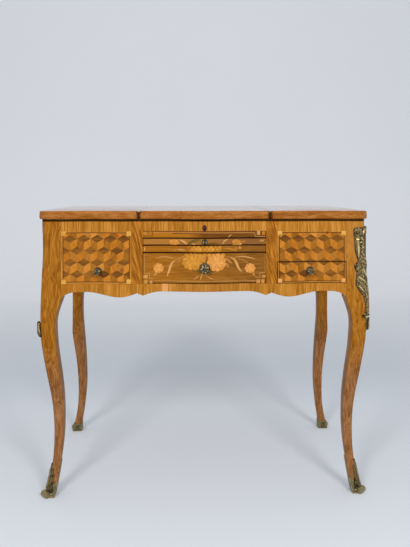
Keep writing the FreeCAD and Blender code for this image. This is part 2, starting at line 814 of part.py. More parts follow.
def bolt_room(height):
    """Room round the raised bolt, up from the lid's underside."""
    middle = bolt_middle_y()
    half_x = bolt_width / 2 + keeper_play
    half_y = bolt_thickness / 2 + keeper_play
    return block(-half_x, half_x, middle - half_y, middle + half_y, lid_bottom_z,
                 lid_bottom_z + height)


def keeper_mortise():
    """Room in the lid for the keeper plate and for the raised bolt."""
    return keeper_blank().fuse(bolt_room(bolt_throw + keeper_play))


def lock_keeper():
    return keeper_blank().cut(bolt_room(keeper_thickness))


def lock_case():
    """The brass box behind the rail, open above for its bolt."""
    z1 = case_top_z - lock_top_set_in
    box = block(-lock_width / 2, lock_width / 2, front_inner_y, front_inner_y + lock_thickness,
                z1 - lock_height, z1)
    middle = bolt_middle_y()
    half_x = bolt_width / 2 + bolt_gap
    half_y = bolt_thickness / 2 + bolt_gap
    chase = block(-half_x, half_x, middle - half_y, middle + half_y,
                  case_top_z - bolt_height - bolt_gap, case_top_z)
    return box.cut(chase).cut(keyhole_tool(0))


def lock_bolt():
    """The bolt that rises into the lid, at rest level with the case's top edge."""
    middle = bolt_middle_y()
    return block(-bolt_width / 2, bolt_width / 2, middle - bolt_thickness / 2,
                 middle + bolt_thickness / 2, case_top_z - bolt_height, case_top_z)


# Drawers and slide

def drawer_parts(x0, x1, z0, z1, outer_left, outer_right):
    """Front, two sides, back and bottom of a drawer for an opening in the front."""
    face = front_piece(x0 + reveal, x1 - reveal, z0 + running_gap, z1 - reveal,
                       drawer_front_thickness)
    y0 = front_y + drawer_front_thickness
    y1 = back_inner_y - drawer_back_gap
    low = z0 + running_gap
    high = z1 - drawer_side_drop
    left = block(outer_left, outer_left + drawer_side_thickness, y0, y1, low, high)
    right = block(outer_right - drawer_side_thickness, outer_right, y0, y1, low, high)
    inner_left = outer_left + drawer_side_thickness
    inner_right = outer_right - drawer_side_thickness
    floor_z = low + drawer_bottom_lift
    back = block(inner_left, inner_right, y1 - drawer_side_thickness, y1,
                 floor_z + drawer_bottom_thickness, high)
    bottom = block(inner_left, inner_right, y0, y1, floor_z, floor_z + drawer_bottom_thickness)
    return {"front": face, "side_left": left, "side_right": right, "back": back, "bottom": bottom}


def slide_parts():
    """The pull-out board and its lipped front."""
    z0 = middle_rail_top_z + running_gap
    z1 = top_rail_bottom_z - running_gap
    half = centre_opening_half - reveal
    lip = front_piece(-half, half, z0, z1, slide_front_thickness)
    y0 = front_y + slide_front_thickness
    board = block(-half, half, y0, back_inner_y - slide_back_gap, z0, z1)
    return lip, board


# Knobs

def knob(length, radius):
    """A turned knob on local +Z: base plate, waist, flared head and a spherical cap."""
    points = [vec(radius * across, 0, length * up) for up, across in knob_profile_shares]
    rim = points[-1]
    drop = length - rim.z
    ball = (rim.x ** 2 + drop ** 2) / (2 * drop)
    side_x = rim.x / 2
    side_z = length - ball + math.sqrt(ball ** 2 - side_x ** 2)
    turned = Part.makePolygon([vec(0, 0, 0)] + points).Edges
    cap = Part.Arc(rim, vec(side_x, 0, side_z), vec(0, 0, length)).toShape()
    axis = Part.makeLine(vec(0, 0, length), vec(0, 0, 0))
    wire = Part.Wire(turned + [cap, axis])
    return Part.Face(wire).revolve(vec(0, 0, 0), vec(0, 0, 1), 360)


def seated_knob(length, radius, x, z):
    """A knob that faces the front, its base fitted to the serpentine surface."""
    shank = Part.makeCylinder(radius, knob_seat, vec(0, 0, -knob_seat))
    turned = knob(length, radius).fuse(shank).removeSplitter()
    turned.rotate(vec(0, 0, 0), vec(1, 0, 0), 90)
    turned.translate(vec(x, serpentine_y(x), z))
    front = case_front_body(front_inner_y, z - radius - overrun, z + radius + overrun)
    return turned.cut(front)


def serpentine_y(x):
    """Where the case's serpentine front stands at a place along it."""
    points = serpentine_points(case_serpentine_shares, post_inner_x, front_y, case_bow)
    front = smooth_edge(points, vec(1, 0, 0), vec(1, 0, 0))
    probe = Part.makeLine(vec(x, front_y - 2 * case_bow - overrun, 0),
                          vec(x, front_y + 2 * case_bow + overrun, 0))
    return front.distToShape(probe)[1][0][0].y


def build_case():
    save("front_apron", front_apron())
    save("front_top_rail", front_top_rail())
    save("front_middle_rail", front_piece(-centre_opening_half, centre_opening_half,
                                          middle_rail_bottom_z, middle_rail_top_z,
                                          front_thickness))
    stile = front_piece(-stile_outer_x, -centre_opening_half, apron_top_z, case_top_z,
                        front_thickness)
    save("stile_left", stile)
    save("stile_right", to_right(stile))
    save("false_front_left", front_piece(-post_inner_x, -stile_outer_x, apron_top_z, case_top_z,
                                         front_thickness))
    save("false_front_right", front_piece(stile_outer_x, post_inner_x, false_front_split_z,
                                          case_top_z, front_thickness))
    side = side_panel()
    save("side_panel_left", side)
    save("side_panel_right", to_right(side))
    save("back_panel", back_panel())
    save("partition_left", partition_left())
    save("partition_right", to_right(partition_left()))
    save("well_floor_left", well_floor_left())
    save("well_floor_centre", well_floor_centre())
    save("well_floor_right", well_floor_right())
    save("centre_drawer_runners", centre_runners())
    save("right_drawer_runners", right_runners())
    save("slide_bearers", slide_bearers())


def build_legs():
    leg = whole_leg(front_sway_shares)
    back_leg = whole_leg(back_sway_shares)
    front_pieces = {"leg_front_": leg, "sabot_front_": sabot(leg, front_sway_shares, True)}
    back_pieces = {"leg_back_": back_leg, "sabot_back_": sabot(back_leg, back_sway_shares, False)}
    for name, shape in front_pieces.items():
        right = place_front_right(shape)
        save(name + "right", right)
        save(name + "left", to_right(right))
    for name, shape in back_pieces.items():
        right = to_back(place_front_right(shape))
        save(name + "right", right)
        save(name + "left", to_right(right))
    mount = corner_plate(leg, mount_half_width, mount_bottom_z, mount_top_z, mount_outline_shares)
    leaf = corner_plate(leg, leaf_half_width, leaf_bottom_z, leaf_top_z, leaf_outline_shares)
    save("corner_mount_right", place_front_right(mount))
    save("corner_leaf_left", to_right(place_front_right(leaf)))


def build_lids():
    left = lid_left()
    save("lid_left", left)
    save("lid_right", to_right(left))
    save("lid_centre", lid_centre())
    save("mirror_plate", mirror_plate())
    front, right, back, left = mirror_mouldings()
    save("mirror_mouldings_ends", Part.makeCompound([front, back]))
    save("mirror_mouldings_sides", Part.makeCompound([left, right]))
    save("lock_keeper", lock_keeper())
    upper = hinge_leaf(True)
    lower = hinge_leaf(False)
    pin = hinge_pin()
    left_upper = Part.makeCompound([at_left_side(upper, place) for place in side_hinge_places])
    save("lid_hinge_leaves_left", left_upper)
    save("lid_hinge_leaves_right", to_right(left_upper))
    save("lid_hinge_leaves_centre",
         Part.makeCompound([at_back(upper, place) for place in centre_hinge_places]))
    for name, piece in (("case_hinge_leaves", lower), ("hinge_pins", pin)):
        left_set = [at_left_side(piece, place) for place in side_hinge_places]
        right_set = [to_right(shape) for shape in left_set]
        back_set = [at_back(piece, place) for place in centre_hinge_places]
        save(name, Part.makeCompound(left_set + right_set + back_set))


def build_lock():
    save("lock_case", lock_case())
    save("lock_bolt", lock_bolt())
    save("keyhole_escutcheon", keyhole_escutcheon())


def build_drawers():
    side = centre_opening_half - reveal
    centre = drawer_parts(-centre_opening_half, centre_opening_half, apron_top_z,
                          middle_rail_bottom_z, -side, side)
    for name, piece in centre.items():
        save("centre_drawer_" + name, piece)
    right = drawer_parts(stile_outer_x, post_inner_x, apron_top_z, false_front_split_z,
                         stile_outer_x + reveal, post_inner_x - reveal)
    for name, piece in right.items():
        save("right_drawer_" + name, piece)
    lip, board = slide_parts()
    save("slide_front", lip)
    save("slide_board", board)


def build_knobs():
    save("false_knob_left", seated_knob(knob_length, side_knob_radius, -side_knob_x, side_knob_z))
    save("right_drawer_knob", seated_knob(knob_length, side_knob_radius, side_knob_x, side_knob_z))
    centre_z = (apron_top_z + middle_rail_bottom_z) / 2
    save("centre_drawer_knob", seated_knob(knob_length, centre_knob_radius, 0, centre_z))
    slide_z = (middle_rail_top_z + top_rail_bottom_z) / 2
    save("slide_knob", seated_knob(slide_knob_length, slide_knob_radius, 0, slide_z))


os.makedirs("parts", exist_ok=True)
build_case()
build_legs()
build_lids()
build_lock()
build_drawers()
build_knobs()
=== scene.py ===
import math

import bmesh
import bpy
import mathutils
import numpy as np
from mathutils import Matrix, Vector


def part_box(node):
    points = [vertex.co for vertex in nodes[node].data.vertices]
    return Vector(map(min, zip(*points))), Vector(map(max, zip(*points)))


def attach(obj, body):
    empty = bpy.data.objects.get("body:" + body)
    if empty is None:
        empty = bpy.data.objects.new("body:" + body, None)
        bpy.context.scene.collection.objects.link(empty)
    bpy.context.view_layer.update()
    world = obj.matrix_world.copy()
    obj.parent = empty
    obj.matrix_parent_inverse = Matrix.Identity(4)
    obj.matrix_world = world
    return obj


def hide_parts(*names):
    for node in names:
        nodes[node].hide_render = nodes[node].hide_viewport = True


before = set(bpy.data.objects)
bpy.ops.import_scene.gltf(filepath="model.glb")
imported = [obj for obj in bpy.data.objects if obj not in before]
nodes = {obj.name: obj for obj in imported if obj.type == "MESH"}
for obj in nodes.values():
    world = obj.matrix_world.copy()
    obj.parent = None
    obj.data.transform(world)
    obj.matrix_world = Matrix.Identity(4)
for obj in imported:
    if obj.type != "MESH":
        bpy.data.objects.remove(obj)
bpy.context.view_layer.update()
scene = bpy.context.scene
scene.view_settings.view_transform = "Standard"


# The camera: at sitting height, a little left of the middle and turned towards it.
# The lens is that of the photograph, raised on its film so that uprights stay upright.

photo_height = 547
focal_pixels = 605.4
horizon_pixel = 188.7
eye_place = (-0.0473, -1.8387, 0.819)
eye_turn = -1.72
view = bpy.data.cameras.new("view")
view.lens = focal_pixels / photo_height * view.sensor_width
view.shift_y = horizon_pixel / photo_height - 0.5
camera = bpy.data.objects.new("view", view)
camera.location = eye_place
camera.rotation_euler = (math.radians(90), 0, math.radians(eye_turn))
scene.collection.objects.link(camera)
scene.camera = camera


# The studio: a sweep of pale blue-grey paper under and behind the table, two wide
# soft lamps at its front corners and an even sky that fills the shadows.

class Wire:
    """A socket of a material. Sums, products and comparisons on it add Math nodes."""

    def __init__(self, finish, socket):
        self.finish = finish
        self.socket = socket

    def maths(self, operation, *values):
        """A Math node's result for the values."""
        return self.finish.node("ShaderNodeMath", {"operation": operation},
                                dict(enumerate(values)))

    def __add__(self, other):
        return self.maths("ADD", self, other)

    __radd__ = __add__

    def __sub__(self, other):
        return self.maths("SUBTRACT", self, other)

    def __rsub__(self, other):
        return self.maths("SUBTRACT", other, self)

    def __mul__(self, other):
        return self.maths("MULTIPLY", self, other)

    __rmul__ = __mul__

    def __truediv__(self, other):
        return self.maths("DIVIDE", self, other)

    def __mod__(self, other):
        return self.maths("FLOORED_MODULO", self, other)

    def __lt__(self, other):
        return self.maths("LESS_THAN", self, other)

    def __gt__(self, other):
        return self.maths("GREATER_THAN", self, other)

    def __abs__(self):
        return self.maths("ABSOLUTE", self)

    def floor(self):
        """The whole number at or below the value."""
        return self.maths("FLOOR", self)

    def least(self, other):
        """The smaller of two values."""
        return self.maths("MINIMUM", self, other)

    def either(self, other):
        """The larger of two values, so one where either mask is one."""
        return self.maths("MAXIMUM", self, other)

    def within(self, low, high):
        """One between two values, and nothing outside them."""
        return (self > low) * (self < high)

    def ramp(self, low, high):
        """Nothing at the low value, one at the high value, and straight between."""
        return self.finish.node("ShaderNodeMapRange", {},
                                {"Value": self, "From Min": low, "From Max": high}, "Result")


def shade(red, green, blue):
    """A colour as the eye reads it, from 0 to 255, turned into the light it gives back."""
    part = np.array((red, green, blue)) / 255
    light = np.where(part > 0.04045, ((part + 0.055) / 1.055) ** 2.4, part / 12.92)
    return (*light.tolist(), 1.0)


class Finish:
    """A material of nodes, with the piece's own coordinates in metres as x, y and z."""

    def __init__(self, name, **surface):
        self.material = bpy.data.materials.new(name)
        self.material.use_nodes = True
        self.tree = self.material.node_tree
        self.shader = self.tree.nodes["Principled BSDF"]
        for socket, value in surface.items():
            self.shader.inputs[socket.replace("_", " ")].default_value = value
        place = self.node("ShaderNodeTexCoord", {}, {}, "Object")
        self.x, self.y, self.z = (self.node("ShaderNodeSeparateXYZ", {}, {0: place}, axis)
                                  for axis in "XYZ")

    def node(self, kind, settings, values, output=0):
        """Add a node: its settings first, then the values or links of its sockets."""
        made = self.tree.nodes.new(kind)
        for setting, value in settings.items():
            setattr(made, setting, value)
        for socket, value in values.items():
            if isinstance(value, Wire):
                self.tree.links.new(value.socket, made.inputs[socket])
            else:
                made.inputs[socket].default_value = value
        return Wire(self, made.outputs[output])

    def point(self, x, y, z):
        """Three values joined to a vector."""
        return self.node("ShaderNodeCombineXYZ", {}, {0: x, 1: y, 2: z})

    def cloud(self, x, y, z, detail=3.0):
        """Soft noise, about a cycle for each unit of the three values."""
        return self.node("ShaderNodeTexNoise", {},
                         {"Vector": self.point(x, y, z), "Scale": 1.0, "Detail": detail})

    def speckle(self, cycles, detail=3.0):
        """Soft noise with as many cycles to the metre in every direction."""
        return self.cloud(self.x * cycles, self.y * cycles, self.z * cycles, detail)

    def chance(self, x, y, z):
        """A number from 0 to 1 that is the same wherever the three values are."""
        return self.node("ShaderNodeTexWhiteNoise", {"noise_dimensions": "3D"},
                         {"Vector": self.point(x + 0.25, y + 0.25, z + 0.25)})

    def mix(self, share, first, second):
        """Two colours, the second shown by its share."""
        return self.node("ShaderNodeMix", {"data_type": "RGBA"}, {0: share, 6: first, 7: second}, 2)

    def own(self, name):
        """A value that the mesh carries."""
        return self.node("ShaderNodeAttribute", {"attribute_name": name}, {}, "Fac")

    def show(self, **sockets):
        """Join wires to the surface's own sockets."""
        for socket, wire in sockets.items():
            self.tree.links.new(wire.socket, self.shader.inputs[socket.replace("_", " ")])

    def relief(self, height, depth):
        """Make the surface stand up where height is one, by a depth in metres."""
        bump = self.node("ShaderNodeBump", {}, {"Strength": 1.0, "Distance": depth,
                                                "Height": height})
        self.show(Normal=bump)


def grid_faces(rows, columns, round_rows, round_columns, start):
    """Four-cornered faces of a grid of points; a round direction joins its end to its start."""
    row = np.arange(rows if round_rows else rows - 1)
    column = np.arange(columns if round_columns else columns - 1)
    row, column = np.meshgrid(row, column, indexing="ij")
    below, beside = (row + 1) % rows, (column + 1) % columns
    corners = np.stack([row * columns + column, below * columns + column,
                        below * columns + beside, row * columns + beside], axis=-1)
    return (start + corners.reshape(-1, 4)).tolist()


def piece(name, shells, finish, body=None, stands_for=(), crease=32.0):
    """One mesh of shells, each a grid of points, whether its rows and columns run round,
    whether its first and last rows are filled, and the tone that its finish may read, one
    for the shell or one for each point."""
    points, faces, tones = [], [], []
    count = 0
    for grid, round_rows, round_columns, filled, tone in shells:
        rows, columns = grid.shape[:2]
        points.append(grid.reshape(-1, 3))
        faces += grid_faces(rows, columns, round_rows, round_columns, count)
        if filled:
            faces.append(list(range(count, count + columns)))
            faces.append(list(range(count + (rows - 1) * columns, count + rows * columns)))
        tones.append(np.broadcast_to(tone, (rows, columns)).ravel())
        count += rows * columns
    mesh = bpy.data.meshes.new(name)
    mesh.from_pydata(np.concatenate(points).tolist(), [], faces)
    tone = mesh.attributes.new("tone", "FLOAT", "POINT")
    tone.data.foreach_set("value", np.concatenate(tones).astype(np.float32))
    work = bmesh.new()
    work.from_mesh(mesh)
    bmesh.ops.remove_doubles(work, verts=work.verts, dist=2e-6)
    bmesh.ops.recalc_face_normals(work, faces=work.faces)
    work.to_mesh(mesh)
    work.free()
    mesh.shade_smooth()
    mesh.set_sharp_from_angle(angle=math.radians(crease))
    mesh.materials.append(finish.material)
    made = bpy.data.objects.new(name, mesh)
    scene.collection.objects.link(made)
    if body is None:
        return made
    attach(made, body)
    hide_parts(*stands_for)
    return made


sweep_radius = 1.3
sweep_back = 2.4
sweep_front = -3.0
sweep_top = 5.0
sweep_half_width = 6.0
turn = np.linspace(0, math.pi / 2, 25)
sweep_y = np.concatenate([[sweep_front], sweep_back + sweep_radius * np.sin(turn),
                          [sweep_back + sweep_radius]])
sweep_z = np.concatenate([[0], sweep_radius * (1 - np.cos(turn)), [sweep_top]])
sweep_x = np.linspace(-sweep_half_width, sweep_half_width, 3)
sweep_grid = np.stack([*np.meshgrid(sweep_x, sweep_y, indexing="ij"),
                       np.tile(sweep_z, (sweep_x.size, 1))], axis=-1)
paper = Finish("paper", Roughness=0.9, Specular_IOR_Level=0.1)
paper_cycles = 0.7
paper_tone = paper.speckle(paper_cycles)
# The floor part of the paper is given a darker colour than the wall behind: painted shade that tones
# down the lamps' light on the floor.
paper_wall = paper.mix(paper_tone, shade(232, 233, 236), shade(237, 238, 241))
paper_floor_shaded = paper.mix(paper_tone, shade(210, 215, 222), shade(214, 219, 226))
paper_bright = (0.9, 2.6)
paper.show(Base_Color=paper.mix(paper.y.ramp(*paper_bright), paper_floor_shaded, paper_wall))
piece("paper_sweep", [(sweep_grid, False, False, False, 0.0)], paper)

lamp_size = 0.9
lamp_power = 48.0
lamp_colour = (1.0, 0.985, 0.96)
lamp_place = (1.15, -2.9, 2.2)
lamp_aim = (0, 0, 0.45)
sky_colour = (0.93, 0.965, 1.0, 1.0)
sky_strength = 0.66
for side in (-1, 1):
    lamp = bpy.data.lights.new("lamp", "AREA")
    lamp.shape = "DISK"
    lamp.size = lamp_size
    lamp.energy = lamp_power
    lamp.color = lamp_colour
    stand = bpy.data.objects.new("lamp", lamp)
    stand.location = (side * lamp_place[0], lamp_place[1], lamp_place[2])
    aim = mathutils.Vector(lamp_aim) - stand.location
    stand.rotation_euler = aim.to_track_quat("-Z", "Y").to_euler()
    scene.collection.objects.link(stand)

sky = bpy.data.worlds.new("sky")
sky.use_nodes = True
glow = sky.node_tree.nodes["Background"]
glow.inputs["Color"].default_value = sky_colour
glow.inputs["Strength"].default_value = sky_strength
scene.world = sky


# The apron: the lowest board of the front, oak sawn to a serpentine line and scalloped
# along its edge. It is crossbanded, and one short length of its veneer is a pale repair.

def smooth(knots, values, at):
    """Natural cubic spline through the values, worked out at each place."""
    knots, values = np.array(knots, float), np.array(values, float)
    step = np.diff(knots)
    slope = np.diff(values) / step
    last = len(knots) - 1
    matrix = np.zeros((last + 1, last + 1))
    right = np.zeros(last + 1)
    inner = np.arange(1, last)
    matrix[inner, inner - 1] = 1 / step[:-1]
    matrix[inner, inner] = 2 / step[:-1] + 2 / step[1:]
    matrix[inner, inner + 1] = 1 / step[1:]
    right[1:-1] = 3 * (slope[:-1] / step[:-1] + slope[1:] / step[1:])
    matrix[0, :2] = 2, 1
    right[0] = 3 * slope[0]
    matrix[last, -2:] = 1, 2
    right[last] = 3 * slope[-1]
    tangent = np.linalg.solve(matrix, right)
    k = np.clip(np.searchsorted(knots, at, side="right") - 1, 0, last - 1)
    t = (at - knots[k]) / step[k]
    return (values[k] * (1 + 2 * t) * (1 - t) ** 2 + tangent[k] * step[k] * t * (1 - t) ** 2
            + values[k + 1] * t * t * (3 - 2 * t) + tangent[k + 1] * step[k] * t * t * (t - 1))


post_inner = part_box("false_front_right")[1].x
case_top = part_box("side_panel_left")[1].z
rails_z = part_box("false_front_left")[0].z
front_y = -0.23075
front_thickness = 0.018
board_back = front_y + front_thickness
case_bow = 0.008
case_wave = ((-1.0, 0.0), (-0.79, -1.0), (-0.56, 0.0), (-0.325, -1.0), (0.0, 0.5),
             (0.325, -1.0), (0.56, 0.0), (0.79, -1.0), (1.0, 0.0))
board_ease = 0.0006


def front_line(x):
    """Where the serpentine front stands at each place along it: a spline through the wave's
    knots, drawn out to the posts and as deep as the bow."""
    along, forward = np.array(case_wave).T
    return front_y - case_bow * smooth(along * post_inner, forward, x)


def board(x, low, high, back):
    """A board of the front: the loop round its section, a box whose two front edges are
    taken off a little, carried along the serpentine line."""
    front = front_line(x)
    low, high, back = (np.broadcast_to(edge, x.shape) for edge in (low, high, back))
    ease = board_ease
    y = np.stack([front, front, front + ease, back, back, front + ease], axis=1)
    z = np.stack([low + ease, high - ease, high, high, low, low], axis=1)
    loops = np.stack([np.broadcast_to(x[:, None], y.shape), y, z], axis=-1)
    return loops, False, True, True, 0.0


broad_across = 110.0
broad_along = 8.0
fine_across = 420.0
fine_along = 26.0
broad_share = 0.42
grain_spread = (0.38, 0.62)


def streaks(finish, along, across, through, seed=0.0):
    """Straight grain as a value from 0 to 1: broad streaks with fine fibres in them, two
    noises with many cycles to the metre across the grain and few along it, added by shares."""
    broad = finish.cloud(across * broad_across, along * broad_along,
                         through * broad_across + seed)
    fine = finish.cloud(across * fine_across, along * fine_along,
                        through * fine_across + seed, detail=2.0)
    return (broad * broad_share + fine * (1 - broad_share)).ramp(*grain_spread)


def wood_colour(finish, grain, dark, middle, light):
    """Three shades of one wood along its grain value: dark at none, the middle one at a
    half and light at one."""
    lower = finish.mix(grain.ramp(0.0, 0.5), dark, middle)
    return finish.mix(grain.ramp(0.5, 1.0), lower, light)


honey = (shade(128, 77, 16), shade(163, 106, 33), shade(191, 133, 61))
oak_plain = (shade(132, 98, 62), shade(166, 128, 86), shade(188, 152, 108))
# The painted shadow under the lid's overhang: where it starts and is full below the top, where it
# stops, its share and its colour.
top_shade_start = 0.0068
top_shade_full = 0.0050
top_shade_end = 0.0002
top_shade_share = 0.97
top_shade_dark = shade(24, 9, 3)
oak_shows = 0.0012
band_length = 0.021
band_waver = 0.03
band_waver_cycles = 9.0
fibre_across = 640
fibre_along = 16
fibre_spread = (0.36, 0.64)
band_grain_share = 0.42
band_fibre_share = 0.62
band_lot_share = 0.36
band_darker = 0.2


def shaded_under_top(finish, colour):
    """Painted shadow in the quirk right under the top, standing for the shade of the lid's
    overhang, coming in evenly over a height of two millimetres."""
    quirk = finish.z.ramp(case_top - top_shade_start, case_top - top_shade_full)
    quirk = quirk * (finish.z < case_top - top_shade_end)
    return finish.mix(quirk * top_shade_share, colour, top_shade_dark)


def inside_oak(finish, colour):
    """Plain oak instead of veneer on the side of a front board that faces the inside, and
    the painted shadow under the top on its veneer.
    """
    colour = shaded_under_top(finish, colour)
    grain = streaks(finish, finish.x, finish.z, finish.y, 7.0)
    oak = wood_colour(finish, grain, *oak_plain)
    return finish.mix(finish.y > board_back - oak_shows, colour, oak)


def crossband(finish, seed=0.0):
    """Crossbanding: upright grain in short lengths of veneer that differ in tone, each a
    band's length give or take a soft noise."""
    strip = finish.x + finish.cloud(finish.x * band_waver_cycles, seed, 0.0) * band_waver
    lot = finish.chance((strip / band_length).floor(), seed, 0.0)
    grain = streaks(finish, finish.z, finish.x, finish.y * 0.2, seed)
    fibre = finish.cloud(finish.x * fibre_across, finish.z * fibre_along, seed, detail=1.0)
    figure = grain * band_grain_share + fibre.ramp(*fibre_spread) * band_fibre_share
    return wood_colour(finish, figure + lot * band_lot_share - band_darker, *honey)


polish = dict(Roughness=0.4, Specular_IOR_Level=0.14, Specular_Tint=(1.0, 0.7, 0.32, 1.0))
pale_patch = (-0.1135, -0.0975)
dark_ends = (0.30, 0.375)
dull_middle = (0.12, 0.02)
apron_finish = Finish("crossbanded_apron", **polish)
from_middle = abs(apron_finish.x)
apron_colour = crossband(apron_finish, 3.0)
for share, tint in ((from_middle.ramp(*dark_ends) * 0.55, shade(150, 92, 24)),
                    (apron_finish.x.within(*pale_patch) * 0.7, shade(216, 150, 96)),
                    (from_middle.ramp(*dull_middle) * 0.35, shade(150, 98, 44))):
    apron_colour = apron_finish.mix(share, apron_colour, tint)
apron_finish.show(Base_Color=inside_oak(apron_finish, apron_colour))

apron_flat = (0.118, rails_z - 0.021)
apron_cusp = (0.164, rails_z - 0.0315)
apron_notch = (0.1795, rails_z - 0.0245)
apron_belly = (0.216, rails_z - 0.0345)
apron_arch = (0.3247, rails_z - 0.0215)
apron_foot = (post_inner, rails_z - 0.038)
apron_columns = 300
fallen_half_way = 0.3
fall_power = math.log(fallen_half_way) / math.log(0.5)


def apron_edge(x):
    """Lower edge of the apron: a flat, a fall to a cusp by a power of the way, a straight
    nick, a belly and an arch on a spline, and a fourth power's quick fall to the leg."""
    away = np.abs(x)
    middle = ((apron_belly[0] + apron_arch[0]) / 2, (apron_belly[1] + apron_arch[1]) / 2)
    knots, levels = np.array([apron_notch, apron_belly, middle, apron_arch, apron_foot]).T
    swing = smooth(knots, levels, np.clip(away, knots[0], knots[-1]))
    past = np.clip((away - apron_arch[0]) / (apron_foot[0] - apron_arch[0]), 0, 1)
    swing = np.where(past > 0, apron_arch[1] + (apron_foot[1] - apron_arch[1]) * past ** 4, swing)
    fall = np.clip((away - apron_flat[0]) / (apron_cusp[0] - apron_flat[0]), 0, 1)
    drop = apron_flat[1] + (apron_cusp[1] - apron_flat[1]) * fall ** fall_power
    nick = np.interp(away, (apron_cusp[0], apron_notch[0]), (apron_cusp[1], apron_notch[1]))
    return np.where(away < apron_cusp[0], drop, np.where(away < apron_notch[0], nick, swing))


corners_x = [side * at[0] for side in (-1, 1) for at in (apron_flat, apron_cusp, apron_notch)]
even_x = np.linspace(-post_inner, post_inner, apron_columns)
apron_x = np.unique(np.concatenate([even_x, corners_x]))
piece("apron", [board(apron_x, apron_edge(apron_x), rails_z, board_back)], apron_finish,
      "case", ["front_apron"])


# The stiles: two uprights of oak between the middle and the cube fields, sawn to the same
# line as the apron. Their veneer is laid on the slant.

def span(node, count=160):
    """Places along a node's width, and its lowest and highest level."""
    low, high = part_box(node)
    return np.linspace(low.x, high.x, count), low.z, high.z


stile_lean = 0.28
stile_wood = (shade(108, 60, 12), shade(148, 90, 22), shade(180, 118, 42))
stile_finish = Finish("slanting_stiles", **polish)
stile_grain = streaks(stile_finish, stile_finish.z - stile_finish.x * stile_lean,
                      stile_finish.x + stile_finish.z * stile_lean, stile_finish.y * 0.2, 11.0)
stile_colour = wood_colour(stile_finish, stile_grain, *stile_wood)
stile_finish.show(Base_Color=inside_oak(stile_finish, stile_colour))
for side in ("left", "right"):
    x, low, high = span("stile_" + side, 12)
    piece("stile_veneered_" + side, [board(x, low, high, board_back)], stile_finish, "case",
          ["stile_" + side])


# The cube fields: parquetry of lozenges in three woods, laid so that they read as
# stacked cubes, in a string with a pale square at each corner, on panel and drawer.

cube_side = 0.02044
cube_half = cube_side * math.sqrt(3) / 2
cube_stretch = 1.02
cube_x = 0.2145
cube_z = 0.686
field_play = 0.0006
field_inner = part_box("false_front_right")[0].x + field_play
field_outer = post_inner - field_play
field_low = rails_z + 0.0008
field_high = 0.7068
string_inset = 0.0036
string_width = 0.0021
string_pale = 0.0009
string_dark = shade(74, 26, 7)
string_light = shade(195, 144, 75)
square_size = 0.0132
square_over = 0.001
square_line = (0.0002, square_size - 0.0012)
lozenge_joint = 0.00022
split_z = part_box("right_drawer_front")[1].z
half_gap = 0.0004
split_shade_soft = 0.0021
split_shade_full = 0.0010
stains = ((0.3290, 0.7010, 0.0050, 0.8, shade(98, 30, 12)),
          (-0.2305, 0.6945, 0.0050, 0.7, shade(150, 52, 18)),
          (-0.2200, 0.6030, 0.0080, 0.5, shade(120, 44, 20)))
lozenge_top = (shade(77, 41, 15), shade(106, 65, 23), shade(136, 87, 32))
lozenge_near = (shade(149, 85, 18), shade(172, 105, 29), shade(186, 123, 50))
lozenge_far = (shade(118, 69, 16), shade(144, 90, 26), shade(163, 107, 43))
square_wood = (shade(173, 119, 42), shade(192, 140, 62), shade(202, 158, 84))

cubes = Finish("cube_parquetry", **polish)
away = abs(cubes.x)
lattice_x = (away - cube_x) / cube_half
lattice_z = (cubes.z - cube_z) / (cube_stretch * cube_half) + cube_side * 1.5 / cube_half
row_a = lattice_x.floor()
row_b = (lattice_z * (math.sqrt(3) / 2) - lattice_x * 0.5).floor()
row_c = (lattice_z * (-math.sqrt(3) / 2) - lattice_x * 0.5).floor()
top_face = ((row_b - row_c) % 3.0) < 0.5
near_face = ((row_c - row_a) % 3.0) < 0.5
far_face = ((row_a - row_b) % 3.0) < 0.5
lot = (cubes.chance(row_b, row_c, 1.0) * top_face + cubes.chance(row_c, row_a, 2.0) * near_face
       + cubes.chance(row_a, row_b, 3.0) * far_face)
turned_near = cubes.z * 0.5 + away * (math.sqrt(3) / 2)
turned_far = cubes.z * 0.5 - away * (math.sqrt(3) / 2)
across_grain = cubes.z * top_face + turned_far * near_face + turned_near * far_face
along_grain = away * top_face + turned_near * near_face + turned_far * far_face
grain = streaks(cubes, along_grain, across_grain, 0.0, lot * 40.0)
figure = grain * 0.6 + lot * 0.5
top_wood, near_wood, far_wood = (wood_colour(cubes, figure, *wood)
                                 for wood in (lozenge_top, lozenge_near, lozenge_far))
field = cubes.mix(near_face, cubes.mix(far_face, top_wood, far_wood), near_wood)
upright_joint = abs((lattice_x % 1.0) - 0.5) > 0.5 - lozenge_joint / cube_half
to_side = (away - field_inner).least(field_outer - away)
to_level = (cubes.z - field_low).least(field_high - cubes.z)
to_edge = to_side.least(to_level)
line_dark = to_edge.within(string_inset, string_inset + string_width)
line_light = to_edge.within(string_inset - string_pale, string_inset)
square = to_side.within(-square_over, square_size) * to_level.within(-square_over, square_size)
square_edge = square * (1.0 - to_side.within(*square_line) * to_level.within(*square_line))
square_grain = streaks(cubes, cubes.x, cubes.z, 0.0, 5.0)
drawer_side = (cubes.x > 0.0) * (cubes.z < split_z)
